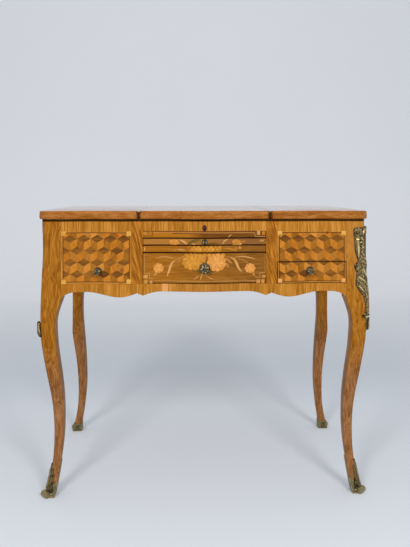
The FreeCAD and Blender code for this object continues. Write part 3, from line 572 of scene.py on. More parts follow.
# Painted shade in the gap round the right drawer: over its top and down its sides and bottom.
near_split = (abs(cubes.z - (split_z + half_gap)).ramp(split_shade_soft, split_shade_full) * (cubes.x > 0.0)
              * (to_side > split_shade_full))
drawer_edge = to_side.least(cubes.z - field_low).ramp(split_shade_soft, split_shade_full) * drawer_side
colour = cubes.mix(line_dark, field, string_dark)
colour = cubes.mix(to_edge < string_inset, colour, crossband(cubes, 5.0))
for share, tint in ((line_light * 0.6, string_light),
                    (square, wood_colour(cubes, square_grain, *square_wood)),
                    (square * drawer_side * 0.6, shade(212, 147, 88)),
                    (square_edge, shade(148, 93, 31)),
                    (near_split.either(drawer_edge) * 0.85, shade(52, 20, 6))):
    colour = cubes.mix(share, colour, tint)
for stain_x, stain_z, reach, strength, stain in stains:
    across, up = cubes.x - stain_x, cubes.z - stain_z
    colour = cubes.mix((across * across + up * up).ramp(reach ** 2, 0.0) * strength, colour, stain)
cubes.show(Base_Color=inside_oak(cubes, colour))
cubes.relief(grain * 0.15 - line_dark * 0.5 - upright_joint * 0.3, depth=0.00012)

for node, body in (("false_front_left", "case"), ("false_front_right", "case"),
                   ("right_drawer_front", "right_drawer")):
    x, low, high = span(node)
    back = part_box(node)[1].y
    piece(node + "_cubes", [board(x, low, high, back)], cubes, body, [node])


# The middle of the front: lock rail, slide, fixed rail and drawer, veneered in one
# run of walnut so that a spray of flowers could be laid across all four.

opening_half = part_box("stile_right")[0].x
walnut_left = (shade(126, 76, 18), shade(143, 88, 23), shade(156, 101, 32))
walnut_right = (shade(106, 64, 19), shade(121, 76, 25), shade(136, 89, 35))
walnut_change = (-0.10, 0.12)
lock_rail_change = (-0.045, 0.0)
fixed_rail_change = (0.02, -0.06)
band_low = 0.7065
gap_shade = shade(42, 15, 4)
gap_soft = 0.0027
gap_full = 0.00126
end_soft = 0.0024
end_full = 0.0012
end_over = 0.0014
slide_low, slide_high = (corner.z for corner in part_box("slide_front"))
drawer_low, drawer_high = (corner.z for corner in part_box("centre_drawer_front"))
ground = Finish("walnut_ground", **polish)
level_grain = streaks(ground, ground.x, ground.z, 0.0, 2.0)
rightward = ground.x.ramp(*walnut_change)
walnut_colour = ground.mix(rightward, wood_colour(ground, level_grain, *walnut_left),
                           wood_colour(ground, level_grain, *walnut_right))
slide_colour = ground.mix(rightward, shade(157, 104, 48), shade(122, 80, 44))
lock_rail_colour = ground.mix(ground.x.ramp(*lock_rail_change), shade(157, 97, 21),
                              shade(92, 50, 14))
on_slide = ground.z.within(slide_low - half_gap, slide_high + half_gap)
on_lock_rail = ground.z.within(slide_high + half_gap, band_low)
on_fixed_rail = ground.z.within(drawer_high, slide_low - half_gap) * ground.x.ramp(*fixed_rail_change)
for share, tint in ((on_slide * (0.9 - level_grain * 0.35), slide_colour),
                    (on_lock_rail * (1.0 - level_grain * 0.4), lock_rail_colour),
                    (on_fixed_rail * (0.6 - level_grain * 0.3), shade(146, 87, 15))):
    walnut_colour = ground.mix(share, walnut_colour, tint)
colour = ground.mix(ground.z > band_low, walnut_colour, crossband(ground, 8.0))
# Painted shade in the gaps over and under the slide and the drawer, and down the ends of the opening
# beside the stiles.
for gap_z in (slide_high, slide_low, drawer_high, drawer_low):
    near_gap = abs(ground.z - (gap_z + half_gap)).ramp(gap_soft, gap_full)
    colour = ground.mix(near_gap, colour, gap_shade)
end_line = abs(ground.x).ramp(opening_half - end_soft, opening_half - end_full)
colour = ground.mix(end_line * 0.85 * (ground.z < slide_high + end_over), colour, gap_shade)
ground.show(Base_Color=inside_oak(ground, colour))
ground.relief(level_grain * 0.2, depth=0.0001)
for node, body in (("front_top_rail", "case"), ("front_middle_rail", "case"),
                   ("slide_front", "slide"), ("centre_drawer_front", "centre_drawer")):
    x, low, high = span(node)
    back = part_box(node)[1].y
    piece(node + "_veneered", [board(x, low, high, back)], ground, body,
          [node])


# The marquetry: a spray of two full flowers, buds and long leaves with a Greek key at
# each corner, sawn from holly, box, pear and dyed woods and shaded in hot sand.

def bar(along):
    """A strip: one all the way, as wide from end to end."""
    return np.ones_like(along)


def leaf(along):
    """A leaf: half a sine wave, made a little fuller."""
    return np.sin(math.pi * along) ** 0.75


def petal(along):
    """A petal, widest near its round end: the root of the way times what the way's fifth
    power leaves of one."""
    return np.sqrt(along * (1 - along ** 5))


def disc(along):
    """A round: half a circle over the length."""
    return np.sqrt(1 - (2 * along - 1) ** 2)


least_rows = 11
least_width = 0.06


def ribbon(half_width, outline, knots, across=7, step=0.003):
    """A strip with a shape's outline about a smooth line through the knots: its points in
    the knots' plane, and how far they lie along it, from 0 to 1, and across it, -1 to 1."""
    knots = np.array(knots, float)
    chord = np.concatenate([[0], np.cumsum(np.hypot(*np.diff(knots, axis=0).T))])
    rows = least_rows + int(chord[-1] / step)
    along = (1 - np.cos(np.linspace(0, math.pi, rows))) / 2
    spine = np.stack([smooth(chord / chord[-1], axis, along) for axis in knots.T], axis=-1)
    ahead = np.gradient(spine, along, axis=0)
    aside = np.stack([-ahead[:, 1], ahead[:, 0]], axis=-1)
    aside /= np.linalg.norm(aside, axis=1, keepdims=True)
    over = np.linspace(-1, 1, across)
    width = half_width * np.maximum(outline(along), least_width)
    points = spine[:, None] + aside[:, None] * (width[:, None] * over)[..., None]
    return points, along[:, None], over[None]


per_metre = 1000
inlay_lift = 0.00004
inlay_step = 0.000004
inlay_depth = 0.0004
inlay_side = opening_half - end_full
root_shade = 0.34
edge_shade = 0.75
side_shade = 0.16
inlay_light = 0.06
least_light = 0.03
bloom_lighter = 0.14
fringe_lighter = 0.16
leaf_wood = (shade(129, 79, 26), shade(182, 129, 60))
pear_wood = (shade(168, 101, 35), shade(213, 150, 79))
gold_wood = (shade(144, 87, 18), shade(200, 138, 54))
green_wood = (shade(84, 62, 28), shade(136, 100, 44))
holly_wood = (shade(164, 111, 54), shade(213, 169, 109))
dark_wood = (shade(84, 42, 14), shade(134, 78, 30))


def inlay(shape, order, low, high):
    """A sliver of veneer in the front: its whole tone number is its wood, the rest its
    light. It darkens at its root and along one side, as if dipped in hot sand."""
    wood, half_width, outline, *knots = shape
    points, along, over = ribbon(half_width / per_metre, outline, np.array(knots) / per_metre, 9)
    x = np.clip(points[..., 0], -inlay_side, inlay_side)
    z = np.clip(points[..., 1], low, high)
    face = front_line(x)
    outer = np.stack([x, face - inlay_lift - order * inlay_step, z], axis=-1)
    inner = np.stack([x, face + inlay_depth, z], axis=-1)[:, ::-1]
    light = wood % 1 + inlay_light - root_shade * (1 - along) ** 3
    light = light - edge_shade * np.abs(over) ** 8 * (outline is not bar)
    light = light - side_shade * (over > 0) * (outline is leaf)
    tones = np.floor(wood) + np.clip(light, least_light, 1 - least_light)
    loops = np.concatenate([outer, inner], axis=1)
    return loops, False, True, True, np.concatenate([tones, tones[:, ::-1]], axis=1)


def bloom(light, x, z, wide, tall, half_width, count, start=0.0):
    """The rows of a flower: petals from its heart to points on an ellipse, at even turns,
    each third one lighter."""
    turn = np.radians(start + np.arange(count) * 360 / count)
    tips = np.stack([x + wide * np.cos(turn), z + tall * np.sin(turn)], axis=-1)
    return tuple((light + bloom_lighter * (number % 3), half_width, petal, (x, z), tuple(tip))
                 for number, tip in enumerate(tips.tolist()))


def fringe(light, half_width, root_z, tip_z, places, lean):
    """Upright petals side by side, whose tips lean away from the middle."""
    return tuple((light + fringe_lighter * (number % 3), half_width, petal,
                  (x, root_z), (x * lean, tip_z)) for number, x in enumerate(places))


# Each row below is a sliver: its wood and light, half its width, its outline and the knots
# of its middle line across the front and up, in millimetres.

slide_shapes = (
    (1.45, 7.5, disc, (-94.5, 677), (-65.5, 677)), (1.5, 4, petal, (-80, 677), (-93, 680.5)),
    (1.2, 4, petal, (-80, 676.5), (-91.5, 671.5)), (1.6, 4, petal, (-80, 677), (-70.5, 682)),
    (1.3, 4, petal, (-79, 676.5), (-67, 675)),
    (4.45, 3, leaf, (-70.5, 683.5), (-56.5, 679), (-46, 670.5)),
    (3.45, 1.5, leaf, (-72.5, 683.5), (-60, 674), (-52.5, 670.5)),
    (3.4, 4.5, leaf, (-46, 671), (-27.5, 679.5), (-11, 683.5)),
    (4.5, 1.5, leaf, (-35.5, 674), (-24.5, 671)), (4.2, 1, bar, (-165, 685), (-165, 671)),
    (3.2, 2.5, leaf, (0.5, 671), (21.5, 673), (46.5, 670)),
    (4.45, 2, leaf, (47.5, 670), (52, 679), (63.5, 684.5)),
    (1.3, 6, petal, (86.5, 673.5), (74.5, 679.5)), (2.5, 6, petal, (86.5, 673.5), (83.5, 684)),
    (1.2, 5.5, petal, (86.5, 673.5), (95.5, 680)), (1.4, 5, petal, (86.5, 673.5), (99.5, 671)),
    (1.1, 5, petal, (86.5, 673.5), (75, 670.5)), (0.6, 4, disc, (81.5, 672), (93, 672)),
    (2.4, 2.5, leaf, (97, 678), (110.5, 678)), (4.1, 0.5, bar, (146.5, 684.5), (163, 684.5)),
    (4.1, 0.5, bar, (163, 684.5), (163, 672)), (0.7, 2.5, bar, (147.5, 680), (158.5, 680)))
rails_shapes = (
    (4.2, 1.5, leaf, (62.5, 689), (67, 693.5), (72.5, 697)),
    (5.2, 1, bar, (-137.5, 705.5), (134.5, 704.5)), (4.1, 1, bar, (-137.5, 702.5), (135, 701)),
    (5.1, 1, bar, (-85.5, 700), (134, 699)), (5.45, 1, bar, (-165, 706), (-137.5, 706)),
    (5.45, 1, bar, (-138, 706), (-138, 693)), (5.45, 1, bar, (-165, 693.5), (-137.5, 693.5)),
    (5.45, 1, bar, (-165, 706), (-165, 693.5)), (0.6, 3.5, bar, (-163.5, 700.5), (-153, 700.5)),
    (5.45, 1, bar, (-151.5, 705.5), (-151.5, 700)), (4.45, 0.5, bar, (135, 701.5), (135, 690.5)),
    (4.45, 0.5, bar, (135, 691), (162.5, 691)), (4.3, 5.5, bar, (140, 701.5), (148.5, 701.5)),
    (2.4, 4.5, bar, (153.5, 700.5), (161, 700.5)), (4.45, 4.5, bar, (-165.5, 659), (-158.5, 659)),
    (5.45, 1, bar, (-162, 663), (-162, 655)),
    (4.3, 2, leaf, (-87, 654.5), (-69.5, 657.5), (-47.5, 655.5)),
    (0.6, 1.5, leaf, (-85.5, 660.5), (-66, 655), (-52.5, 652.5)),
    *fringe(2.3, 7.5, 650, 667, range(-38, 41, 11), 1.04),
    *fringe(2.55, 5, 651, 662, range(-33, 37, 11), 1.02),
    (3.3, 2, leaf, (-39, 665), (-39.5, 658.5)),
    (2.5, 2, leaf, (44, 658.5), (65.5, 660), (78.5, 655.5), (88.5, 651.5)),
    (2.2, 6.5, petal, (85, 665.5), (83, 656)), (1.4, 5, petal, (93, 665.5), (95.5, 658.5)),
    (6.5, 6, disc, (-0.5, 723), (-0.5, 704.5)), (7.5, 2.6, disc, (-0.5, 717), (-0.5, 711)),
    (7.5, 1.3, bar, (-0.5, 713), (-0.5, 708)))
drawer_shapes = (
    (4.1, 2, leaf, (-132.5, 633), (-108, 638), (-75.5, 631)),
    (0.7, 1.5, bar, (-76.5, 630.5), (-63, 636), (-52, 640)),
    (0.5, 2.5, leaf, (-75, 616), (-69.5, 626), (-59, 634)),
    (4.45, 3.5, leaf, (-74.5, 630), (-87, 620.5), (-93, 604.5), (-101, 584.5)),
    (4.2, 3, leaf, (-125.5, 598.5), (-134, 587)),
    (3.5, 10, leaf, (-31.5, 600.5), (-3, 607), (0.5, 600)),
    (4.1, 2.5, leaf, (54.5, 635.5), (65.5, 626), (74, 620)),
    *fringe(2.35, 8, 633, 647, range(-48, 49, 12), 1.02),
    *bloom(2.45, -29, 624, 31, 22, 9, 12, 8), *bloom(2.6, -29, 625, 21, 15, 7, 9, 30),
    *bloom(2.66, -29, 626, 12, 9, 5, 6), (2.9, 3, disc, (-32, 626), (-26, 626)),
    *bloom(2.5, -10, 633, 14, 11, 6, 8, 10), *bloom(2.62, -10, 634, 7, 6, 4, 5),
    *bloom(1.42, 32, 623, 26, 24, 9.5, 11, 16), *bloom(1.55, 32, 624, 18, 16, 7, 9, 30),
    *bloom(1.66, 32, 625, 10, 9, 5, 6), (1.9, 2.5, disc, (29.5, 625), (34.5, 625)),
    *bloom(1.42, -122.5, 607.5, 14, 13, 6.5, 8, 12), *bloom(1.6, -122.5, 607.5, 8, 7, 4, 6),
    *bloom(1.45, 122, 606.5, 14.5, 13, 6.5, 8), *bloom(1.62, 122, 606.5, 8, 7, 4, 6, 20),
    (0.7, 3, leaf, (57.5, 622.5), (64, 609.5)),
    (4.45, 3.5, leaf, (65, 638.5), (81.5, 628), (89.5, 610.5), (101, 595.5)),
    (4.3, 2, leaf, (75, 634.5), (101.5, 638), (122.5, 634.5), (138.5, 630.5)),
    (4.45, 0.5, bar, (90, 633), (104.5, 627.5), (117.5, 619)),
    (4.1, 3, leaf, (128.5, 597), (134, 585.5)), (0.5, 7, leaf, (-3, 604), (-1, 586)),
    (0.8, 4, leaf, (-3.5, 601.5), (-11.5, 577)), (4.1, 2, leaf, (-11, 591), (-31, 576.5)),
    (4.2, 1.5, leaf, (-1, 597.5), (10, 584.5), (28, 578)),
    (3.4, 2.5, leaf, (5.5, 595), (26.5, 599)), (4.45, 0.5, bar, (-160.5, 594.5), (-146, 594)),
    (4.45, 0.5, bar, (-146.5, 594), (-146.5, 579.5)),
    (4.45, 0.5, bar, (-146.5, 579.5), (-135.5, 579.5)),
    (4.3, 4.5, bar, (-163, 585.5), (-151.5, 585)), (0.8, 5, bar, (-162.5, 571.5), (-151.5, 571.5)),
    (4.2, 4.5, bar, (-146.5, 570.5), (-139, 570.5)), (4.45, 0.5, bar, (-135.5, 574), (136, 572.5)),
    (4.45, 0.5, bar, (-160.5, 647), (-160.5, 594.5)), (4.45, 0.5, bar, (162, 646), (162, 594.5)),
    (4.45, 0.5, bar, (162.5, 595), (147.5, 594.5)), (4.45, 0.5, bar, (147.5, 594.5), (147.5, 582)),
    (4.45, 0.5, bar, (147.5, 582), (135, 582)), (4.2, 5, bar, (138, 571.5), (148.5, 571.5)),
    (1.35, 5, bar, (151.5, 572), (160, 572)), (0.8, 3.5, bar, (153, 585), (166, 585)))

shield_wood = (shade(70, 30, 20), shade(96, 44, 32))
# The keyhole's hole is a near-black sliver: painted shade where the hole goes into the lock.
keyhole_shade = (shade(10, 5, 3), shade(18, 9, 6))
marquetry = Finish("flower_marquetry", **polish)
tone = marquetry.own("tone")
inlay_fibre_cycles = 300
inlay_fibre_share = 0.5
fibre = marquetry.cloud(marquetry.x * inlay_fibre_cycles, marquetry.z * inlay_fibre_cycles,
                        0.0, detail=2.0) - 0.5
lightness = (tone % 1.0) + fibre * inlay_fibre_share
colour = leaf_wood[0]
for number, (dark, light) in enumerate((leaf_wood, pear_wood, gold_wood, green_wood, holly_wood,
                                        dark_wood, shield_wood, keyhole_shade)):
    colour = marquetry.mix(tone > float(number), colour, marquetry.mix(lightness, dark, light))
marquetry.show(Base_Color=colour)
for name, body, node, top_node, shapes in (
        ("spray_on_slide", "slide", "slide_front", "slide_front", slide_shapes),
        ("spray_on_rails", "case", "front_middle_rail", "front_top_rail", rails_shapes),
        ("spray_on_drawer", "centre_drawer", "centre_drawer_front", "centre_drawer_front",
         drawer_shapes)):
    low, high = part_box(node)[0].z + half_gap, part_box(top_node)[1].z - half_gap
    piece(name, [inlay(shape, order, low, high) for order, shape in enumerate(shapes)],
          marquetry, body, crease=60.0)


# The legs: four cabriole legs in one piece with their corner posts, cut from the
# solid, veneered with upright grain, swelling at the knee and thin above the shoe.

case_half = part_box("side_panel_right")[1].x
back_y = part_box("back_panel")[1].y
post_size = case_half - post_inner
corner_radius = 0.020
leg_sway = 0.0285
leg_top = rails_z
leg_rise, front_out, back_out, leg_size, leg_round = np.array((
    (0.000, -0.28, -0.14, 0.470, 0.39), (0.060, -0.56, -0.30, 0.432, 0.37),
    (0.115, -0.77, -0.54, 0.410, 0.36), (0.190, -0.94, -0.74, 0.422, 0.38),
    (0.305, -1.00, -0.79, 0.495, 0.40), (0.381, -0.94, -0.69, 0.534, 0.40),
    (0.457, -0.79, -0.48, 0.594, 0.39), (0.534, -0.55, -0.20, 0.660, 0.40),
    (0.610, -0.31, 0.05, 0.702, 0.42), (0.686, -0.10, 0.23, 0.722, 0.43),
    (0.762, 0.07, 0.32, 0.758, 0.45), (0.839, 0.15, 0.30, 0.815, 0.49),
    (0.915, 0.13, 0.19, 1.020, 0.57), (0.945, 0.09, 0.13, 1.090, 0.62),
    (1.000, 0.03, 0.04, 1.110, 0.72), (1.065, 0.01, 0.01, 1.050, 0.85),
    (1.130, 0.00, 0.00, 1.000, 1.00))).T
waist_depth = 0.0042
waist_low = rails_z + 0.022
waist_high = case_top - 0.006
arris = 0.0012
sole = 0.003
bracket_z = apron_foot[1]
outer_steps = 14
arris_steps = 3
leg_levels = 140
drift_across = 16
drift_up = 13
drift_reach = 0.035
waver_across = 30
waver_up = 8
waver_reach = 0.06
wood_change = (0.32, 0.44)
leg_upper_wood = (shade(116, 66, 10), shade(145, 89, 21), shade(165, 111, 39))
leg_lower_wood = (shade(103, 62, 29), shade(133, 88, 52), shade(153, 108, 69))
lighter_side = (0.3, 0.4)
lighter_height = (0.56, 0.66)
lighter_share = 0.5
leg_hole = 0.0016
leg_holes = ((0.4095, 0.5185), (-0.4215, 0.4690), (0.3935, 0.1780))


def leg_measures(z, sway):
    """How far the leg's outer faces stand out, its width and its corner's radius, each a
    smooth line over its shares of the height; over the bracket it stays off the case."""
    share = np.minimum(z / leg_top, leg_rise[-1])
    out = leg_sway * smooth(leg_rise, sway, share)
    size = post_size * smooth(leg_rise, leg_size, share)
    radius = corner_radius * smooth(leg_rise, leg_round, share)
    size = np.where(z > bracket_z, np.minimum(size, out + post_size), size)
    return out, size, radius


def leg_loops(z, sway):
    """The loop round the leg at each height, in the quadrant that faces away from the case:
    a quarter circle at each corner, the outer one's radius by height."""
    out, size, radius = leg_measures(z, sway)
    near = out - size
    loops = []
    for corner, (steps, a, b, r) in enumerate((
            (outer_steps, out - radius, out - radius, radius),
            (arris_steps, near + arris, out - arris, arris),
            (arris_steps, near + arris, near + arris, arris),
            (arris_steps, out - arris, near + arris, arris))):
        turn = np.linspace(corner, corner + 1, steps) * math.pi / 2
        r = np.broadcast_to(r, z.shape)[:, None]
        loops.append(np.stack([a[:, None] + r * np.cos(turn), b[:, None] + r * np.sin(turn),
                               np.broadcast_to(z[:, None], (z.size, steps))], axis=-1))
    return np.concatenate(loops, axis=1)


def waisted(local):
    """The loops with their outer side face drawn in by an arc between two heights."""
    middle, half = (waist_low + waist_high) / 2, (waist_high - waist_low) / 2
    radius = (half ** 2 + waist_depth ** 2) / (2 * waist_depth)
    drop = np.sqrt(np.maximum(radius ** 2 - (local[..., 2] - middle) ** 2, 0)) - radius
    drop = np.maximum(drop + waist_depth, 0) * (np.abs(local[..., 2] - middle) < half)
    local = local.copy()
    local[..., 0] = np.minimum(local[..., 0], -drop)
    return local


def to_corner(local, side, end):
    """From the outward quadrant to one corner, mirrored and moved out to the case's faces:
    side -1 is left, end -1 is the front."""
    x = side * (case_half + local[..., 0])
    y = (front_y - local[..., 1]) if end < 0 else (back_y + local[..., 1])
    return np.stack([x, y, local[..., 2]], axis=-1)


leg_finish = Finish("leg_veneer", **polish)
drift = leg_finish.cloud(leg_finish.x * drift_across, leg_finish.y * drift_across,
                         leg_finish.z * drift_up, detail=1.0) * drift_reach
leg_grain = streaks(leg_finish, leg_finish.z, leg_finish.x + drift, leg_finish.y + drift, 21.0)
front_leg = leg_finish.y < 0.0
waver = leg_finish.cloud(leg_finish.x * waver_across, leg_finish.y * waver_across,
                         leg_finish.z * waver_up) * waver_reach
leg_colour = leg_finish.mix((leg_finish.z + waver).ramp(*wood_change),
                            wood_colour(leg_finish, leg_grain, *leg_lower_wood),
                            wood_colour(leg_finish, leg_grain, *leg_upper_wood))
# The upper part of the right front leg is made lighter.
lighter_patch = leg_finish.x.ramp(*lighter_side) * leg_finish.z.ramp(*lighter_height) * front_leg
leg_colour = leg_finish.mix(lighter_patch * lighter_share, leg_colour, shade(188, 128, 58))
for hole_x, hole_z in leg_holes:
    across, up = leg_finish.x - hole_x, leg_finish.z - hole_z
    hole = (across * across + up * up < leg_hole ** 2) * front_leg
    leg_colour = leg_finish.mix(hole, leg_colour, shade(40, 18, 6))
# The legs' tops get the painted shadow under the lid as well.
leg_finish.show(Base_Color=shaded_under_top(leg_finish, leg_colour))
leg_finish.relief(leg_grain * 0.2, depth=0.0001)
leg_z = np.concatenate([np.linspace(sole, case_top, leg_levels), [waist_low, waist_high]])
leg_z = np.unique(np.append(leg_z, bracket_z + 0.0001))
for end, end_name, sway in ((-1, "front", front_out), (1, "back", back_out)):
    for side, side_name in ((-1, "left"), (1, "right")):
        node = f"leg_{end_name}_{side_name}"
        loops = to_corner(waisted(leg_loops(leg_z, sway)), side, end)
        piece(node + "_veneered", [(loops, False, True, True, 0.0)], leg_finish, "case",
              [node])


# The sides and the back: flat boards of oak between the corner posts, veneered outside
# and bare inside. A dark string runs round the sides under the top.

def own_material(node, finish):
    """Give a node of the frame its finish."""
    nodes[node].data.materials.clear()
    nodes[node].data.materials.append(finish.material)


side_string = 0.0026
side_depth = 0.0155
back_depth = 0.0135
tan = (shade(123, 73, 24), shade(156, 99, 38), shade(180, 124, 62))
side_finish = Finish("side_veneer", **polish)
side_grain = streaks(side_finish, side_finish.z * 0.5, side_finish.y, side_finish.x, 31.0)
side_wood = side_finish.mix(side_finish.z.within(field_high - side_string, field_high),
                            wood_colour(side_finish, side_grain, *honey), string_dark)
side_oak = wood_colour(side_finish, side_grain, *oak_plain)
side_finish.show(Base_Color=side_finish.mix(abs(side_finish.x) < case_half - side_depth,
                                            side_wood, side_oak))
for node in ("side_panel_left", "side_panel_right"):
    own_material(node, side_finish)

back_finish = Finish("back_veneer", Roughness=0.45)
back_grain = streaks(back_finish, back_finish.x * 0.4, back_finish.z, back_finish.y, 41.0)
back_wood = wood_colour(back_finish, back_grain, *tan)
back_oak = wood_colour(back_finish, back_grain, *oak_plain)
back_finish.show(Base_Color=back_finish.mix(back_finish.y < back_y - back_depth, back_wood,
                                            back_oak))
own_material("back_panel", back_finish)


# The boards inside: partitions, floors, runners, slide and drawer boxes of plain planed
# oak. The grain runs along each board, front to back in some and side to side in others.

def planed_oak(name, length_way, width_way, seed, boards):
    """Bare oak on some boards, with its grain drawn out along their length."""
    oak = Finish(name, Roughness=0.6)
    oak_grain = streaks(oak, getattr(oak, length_way) * 0.4, getattr(oak, width_way), oak.z, seed)
    oak.show(Base_Color=wood_colour(oak, oak_grain, *oak_plain))
    oak.relief(oak_grain * 0.3, depth=0.0002)
    for board_node in boards:
        own_material(board_node, oak)


planed_oak("oak_level", "y", "x", 51.0, (
    "partition_left", "partition_right", "centre_drawer_runners", "right_drawer_runners",
    "slide_bearers", "centre_drawer_side_left", "centre_drawer_side_right",
    "right_drawer_side_left", "right_drawer_side_right"))
planed_oak("oak_cross", "x", "y", 61.0, (
    "well_floor_left", "well_floor_centre", "well_floor_right", "slide_board",
    "centre_drawer_back", "centre_drawer_bottom", "right_drawer_back", "right_drawer_bottom"))


# The lids: three veneered boards that together make the serpentine top, each with its
# edge rounded above and below and its front corners at the joints turned in a small
# curve. Hinge leaves, and the lock's keeper and bolt, are let into rooms cut from below.

lid_low, lid_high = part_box("lid_centre")
lid_left_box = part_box("lid_left")
lid_half = -lid_left_box[0].x
lid_joint = lid_high.x
joint_gap = 2 * (-lid_left_box[1].x - lid_joint)
lid_overhang = 0.007
lid_front_y = front_y - lid_overhang
lid_back_y = lid_left_box[1].y
lid_bow = 0.010
lid_corner = 0.035
lid_back_corner = 0.015
lid_joint_corner = 0.012
lid_sharp_corner = 0.0008
lid_top_round = 0.005
lid_bottom_round = 0.004
lid_front_points = 70
lid_arc_points = 10
lid_round_rings = 6
lid_wave = ((-1.0, 0.0), (-0.75, -1.0), (-0.54, 0.0), (-0.31, -0.8), (0.0, 1.0),
            (0.31, -0.8), (0.54, 0.0), (0.75, -1.0), (1.0, 0.0))


def lid_line(x):
    """Where the front edge of the top stands at each place along it: a spline through the
    wave's knots over the case's front, straight past the corners."""
    along, forward = np.array(lid_wave).T
    reach = lid_half - lid_corner
    return lid_front_y - lid_bow * smooth(along * reach, forward, np.clip(x, -reach, reach))


def lid_outline(x0, x1, front_left, front_right, back_left, back_right):
    """Plan of a lid as points: the wavy front edge, then a quarter circle at each corner."""
    def arc(cx, cy, radius, start):
        """A quarter circle about a centre from a start angle in degrees."""
        turn = np.radians(np.linspace(start, start + 90, lid_arc_points))
        return np.stack([cx + radius * np.cos(turn), cy + radius * np.sin(turn)], axis=-1)
    x = np.linspace(x0 + front_left, x1 - front_right, lid_front_points)
    edge = np.stack([x, lid_line(x)], axis=-1)
    right_y = lid_line(np.array([x1 - front_right]))[0] + front_right
    left_y = lid_line(np.array([x0 + front_left]))[0] + front_left
    return np.concatenate([
        edge, arc(x1 - front_right, right_y, front_right, -90)[1:],
        arc(x1 - back_right, lid_back_y - back_right, back_right, 0),
        arc(x0 + back_left, lid_back_y - back_left, back_left, 90),
        arc(x0 + front_left, left_y, front_left, 180)[:-1]])


def lid_shell(outline):
    """The lid's rounded edge, ring by ring upwards, with its flat faces filled. Each ring is
    the plan drawn in along its normals by a quarter circle's inset, and sharp corners stay
    mitred because no ring passes the plan's box drawn in as far."""
    ahead = np.roll(outline, -1, axis=0) - np.roll(outline, 1, axis=0)
    away = np.stack([ahead[:, 1], -ahead[:, 0]], axis=-1)
    away /= np.linalg.norm(away, axis=1, keepdims=True)
    low = np.linspace(0, math.pi / 2, lid_round_rings)
    inset = np.concatenate([lid_bottom_round * (1 - np.sin(low)), lid_top_round * (1 - np.cos(low))])
    level = np.concatenate([lid_low.z + lid_bottom_round * (1 - np.cos(low)),
                            lid_high.z - lid_top_round * (1 - np.sin(low))])
    rings = outline[None] - away[None] * inset[:, None, None]
    least, most = outline.min(axis=0), outline.max(axis=0)
    rings[..., 0] = np.clip(rings[..., 0], least[0] + inset[:, None], most[0] - inset[:, None])
    rings[..., 1] = np.minimum(rings[..., 1], most[1] - inset[:, None])
    height = np.broadcast_to(level[:, None, None], (*rings.shape[:2], 1))
    return np.concatenate([rings, height], axis=-1), False, True, True, 0.0


lid_edge_tones = (shade(112, 59, 14), shade(145, 87, 32), shade(168, 116, 61))
top_band = 0.0012
joint_shade_width = (0.0085, 0.0015)
joint_shade_depth = 0.012
joint_shade_share = 0.8
edge_grain_share = 0.7
edge_grain_least = 0.15
top_stretch = 0.35
top_face = 0.0001
gloss_level = 0.012
gloss_front = 0.02
top_gloss = 0.70
edge_rough = 0.44
top_rough = 0.16
lid_finish = Finish("lid_veneer", Coat_Roughness=0.05, **polish)
lid_grain = streaks(lid_finish, lid_finish.x, lid_finish.z, lid_finish.y, 71.0)
lid_edge_wood = wood_colour(lid_finish, lid_grain * edge_grain_share + edge_grain_least,
                            *lid_edge_tones)
top_grain = streaks(lid_finish, lid_finish.y * top_stretch, lid_finish.x, lid_finish.z, 73.0)
lid_colour = lid_finish.mix(lid_finish.z > lid_high.z - top_band, lid_edge_wood,
                            wood_colour(lid_finish, top_grain, *tan))
# Painted shade in the notch where two lids' rounded front corners meet: a dark band on either side of
# each joint, near the front.
joint_painted_shade = (abs(abs(lid_finish.x) - lid_joint).ramp(*joint_shade_width)
               * (lid_finish.y < lid_front_y + joint_shade_depth))
lid_colour = lid_finish.mix(joint_painted_shade * joint_shade_share, lid_colour, shade(48, 22, 10))
behind_edge = (lid_finish.z > lid_low.z + gloss_level) * (lid_finish.y > lid_front_y + gloss_front)
flat_top = (lid_finish.z > lid_high.z - top_face).either(behind_edge)
lid_finish.show(Base_Color=lid_colour, Coat_Weight=flat_top * top_gloss,
                Roughness=edge_rough - flat_top * (edge_rough - top_rough))


def let_in(lid, rooms):
    """Cut rooms for let-in metalwork, each a lowest and a highest corner, out of a lid."""
    for low, high in rooms:
        middle = (mathutils.Vector(low) + mathutils.Vector(high)) / 2
        reach = mathutils.Vector(high) - mathutils.Vector(low)
        work = bmesh.new()
        bmesh.ops.create_cube(work, matrix=mathutils.Matrix.LocRotScale(middle, None, reach))
        cutter_mesh = bpy.data.meshes.new("room")
        work.to_mesh(cutter_mesh)
        work.free()
        cutter = bpy.data.objects.new("room", cutter_mesh)
        scene.collection.objects.link(cutter)
        cut = lid.modifiers.new("room", "BOOLEAN")
        cut.operation = "DIFFERENCE"
        cut.solver = "EXACT"
        cut.object = cutter
        solid = lid.evaluated_get(bpy.context.evaluated_depsgraph_get())
        lid.data = bpy.data.meshes.new_from_object(solid)
        lid.modifiers.clear()
        bpy.data.objects.remove(cutter)


room_play = 0.0003
bolt_play = 0.0008
bolt_room = 0.0085
room_over = 0.001


def leaf_rooms(node, axis):
    """A room round each of a node's two hinge leaves, which lie apart along an axis."""
    points = np.array([vertex.co for vertex in nodes[node].data.vertices])
    middle = (points[:, axis].min() + points[:, axis].max()) / 2
    halves = (points[points[:, axis] < middle], points[points[:, axis] > middle])
    return [(half.min(axis=0) - room_play, half.max(axis=0) + room_play) for half in halves]


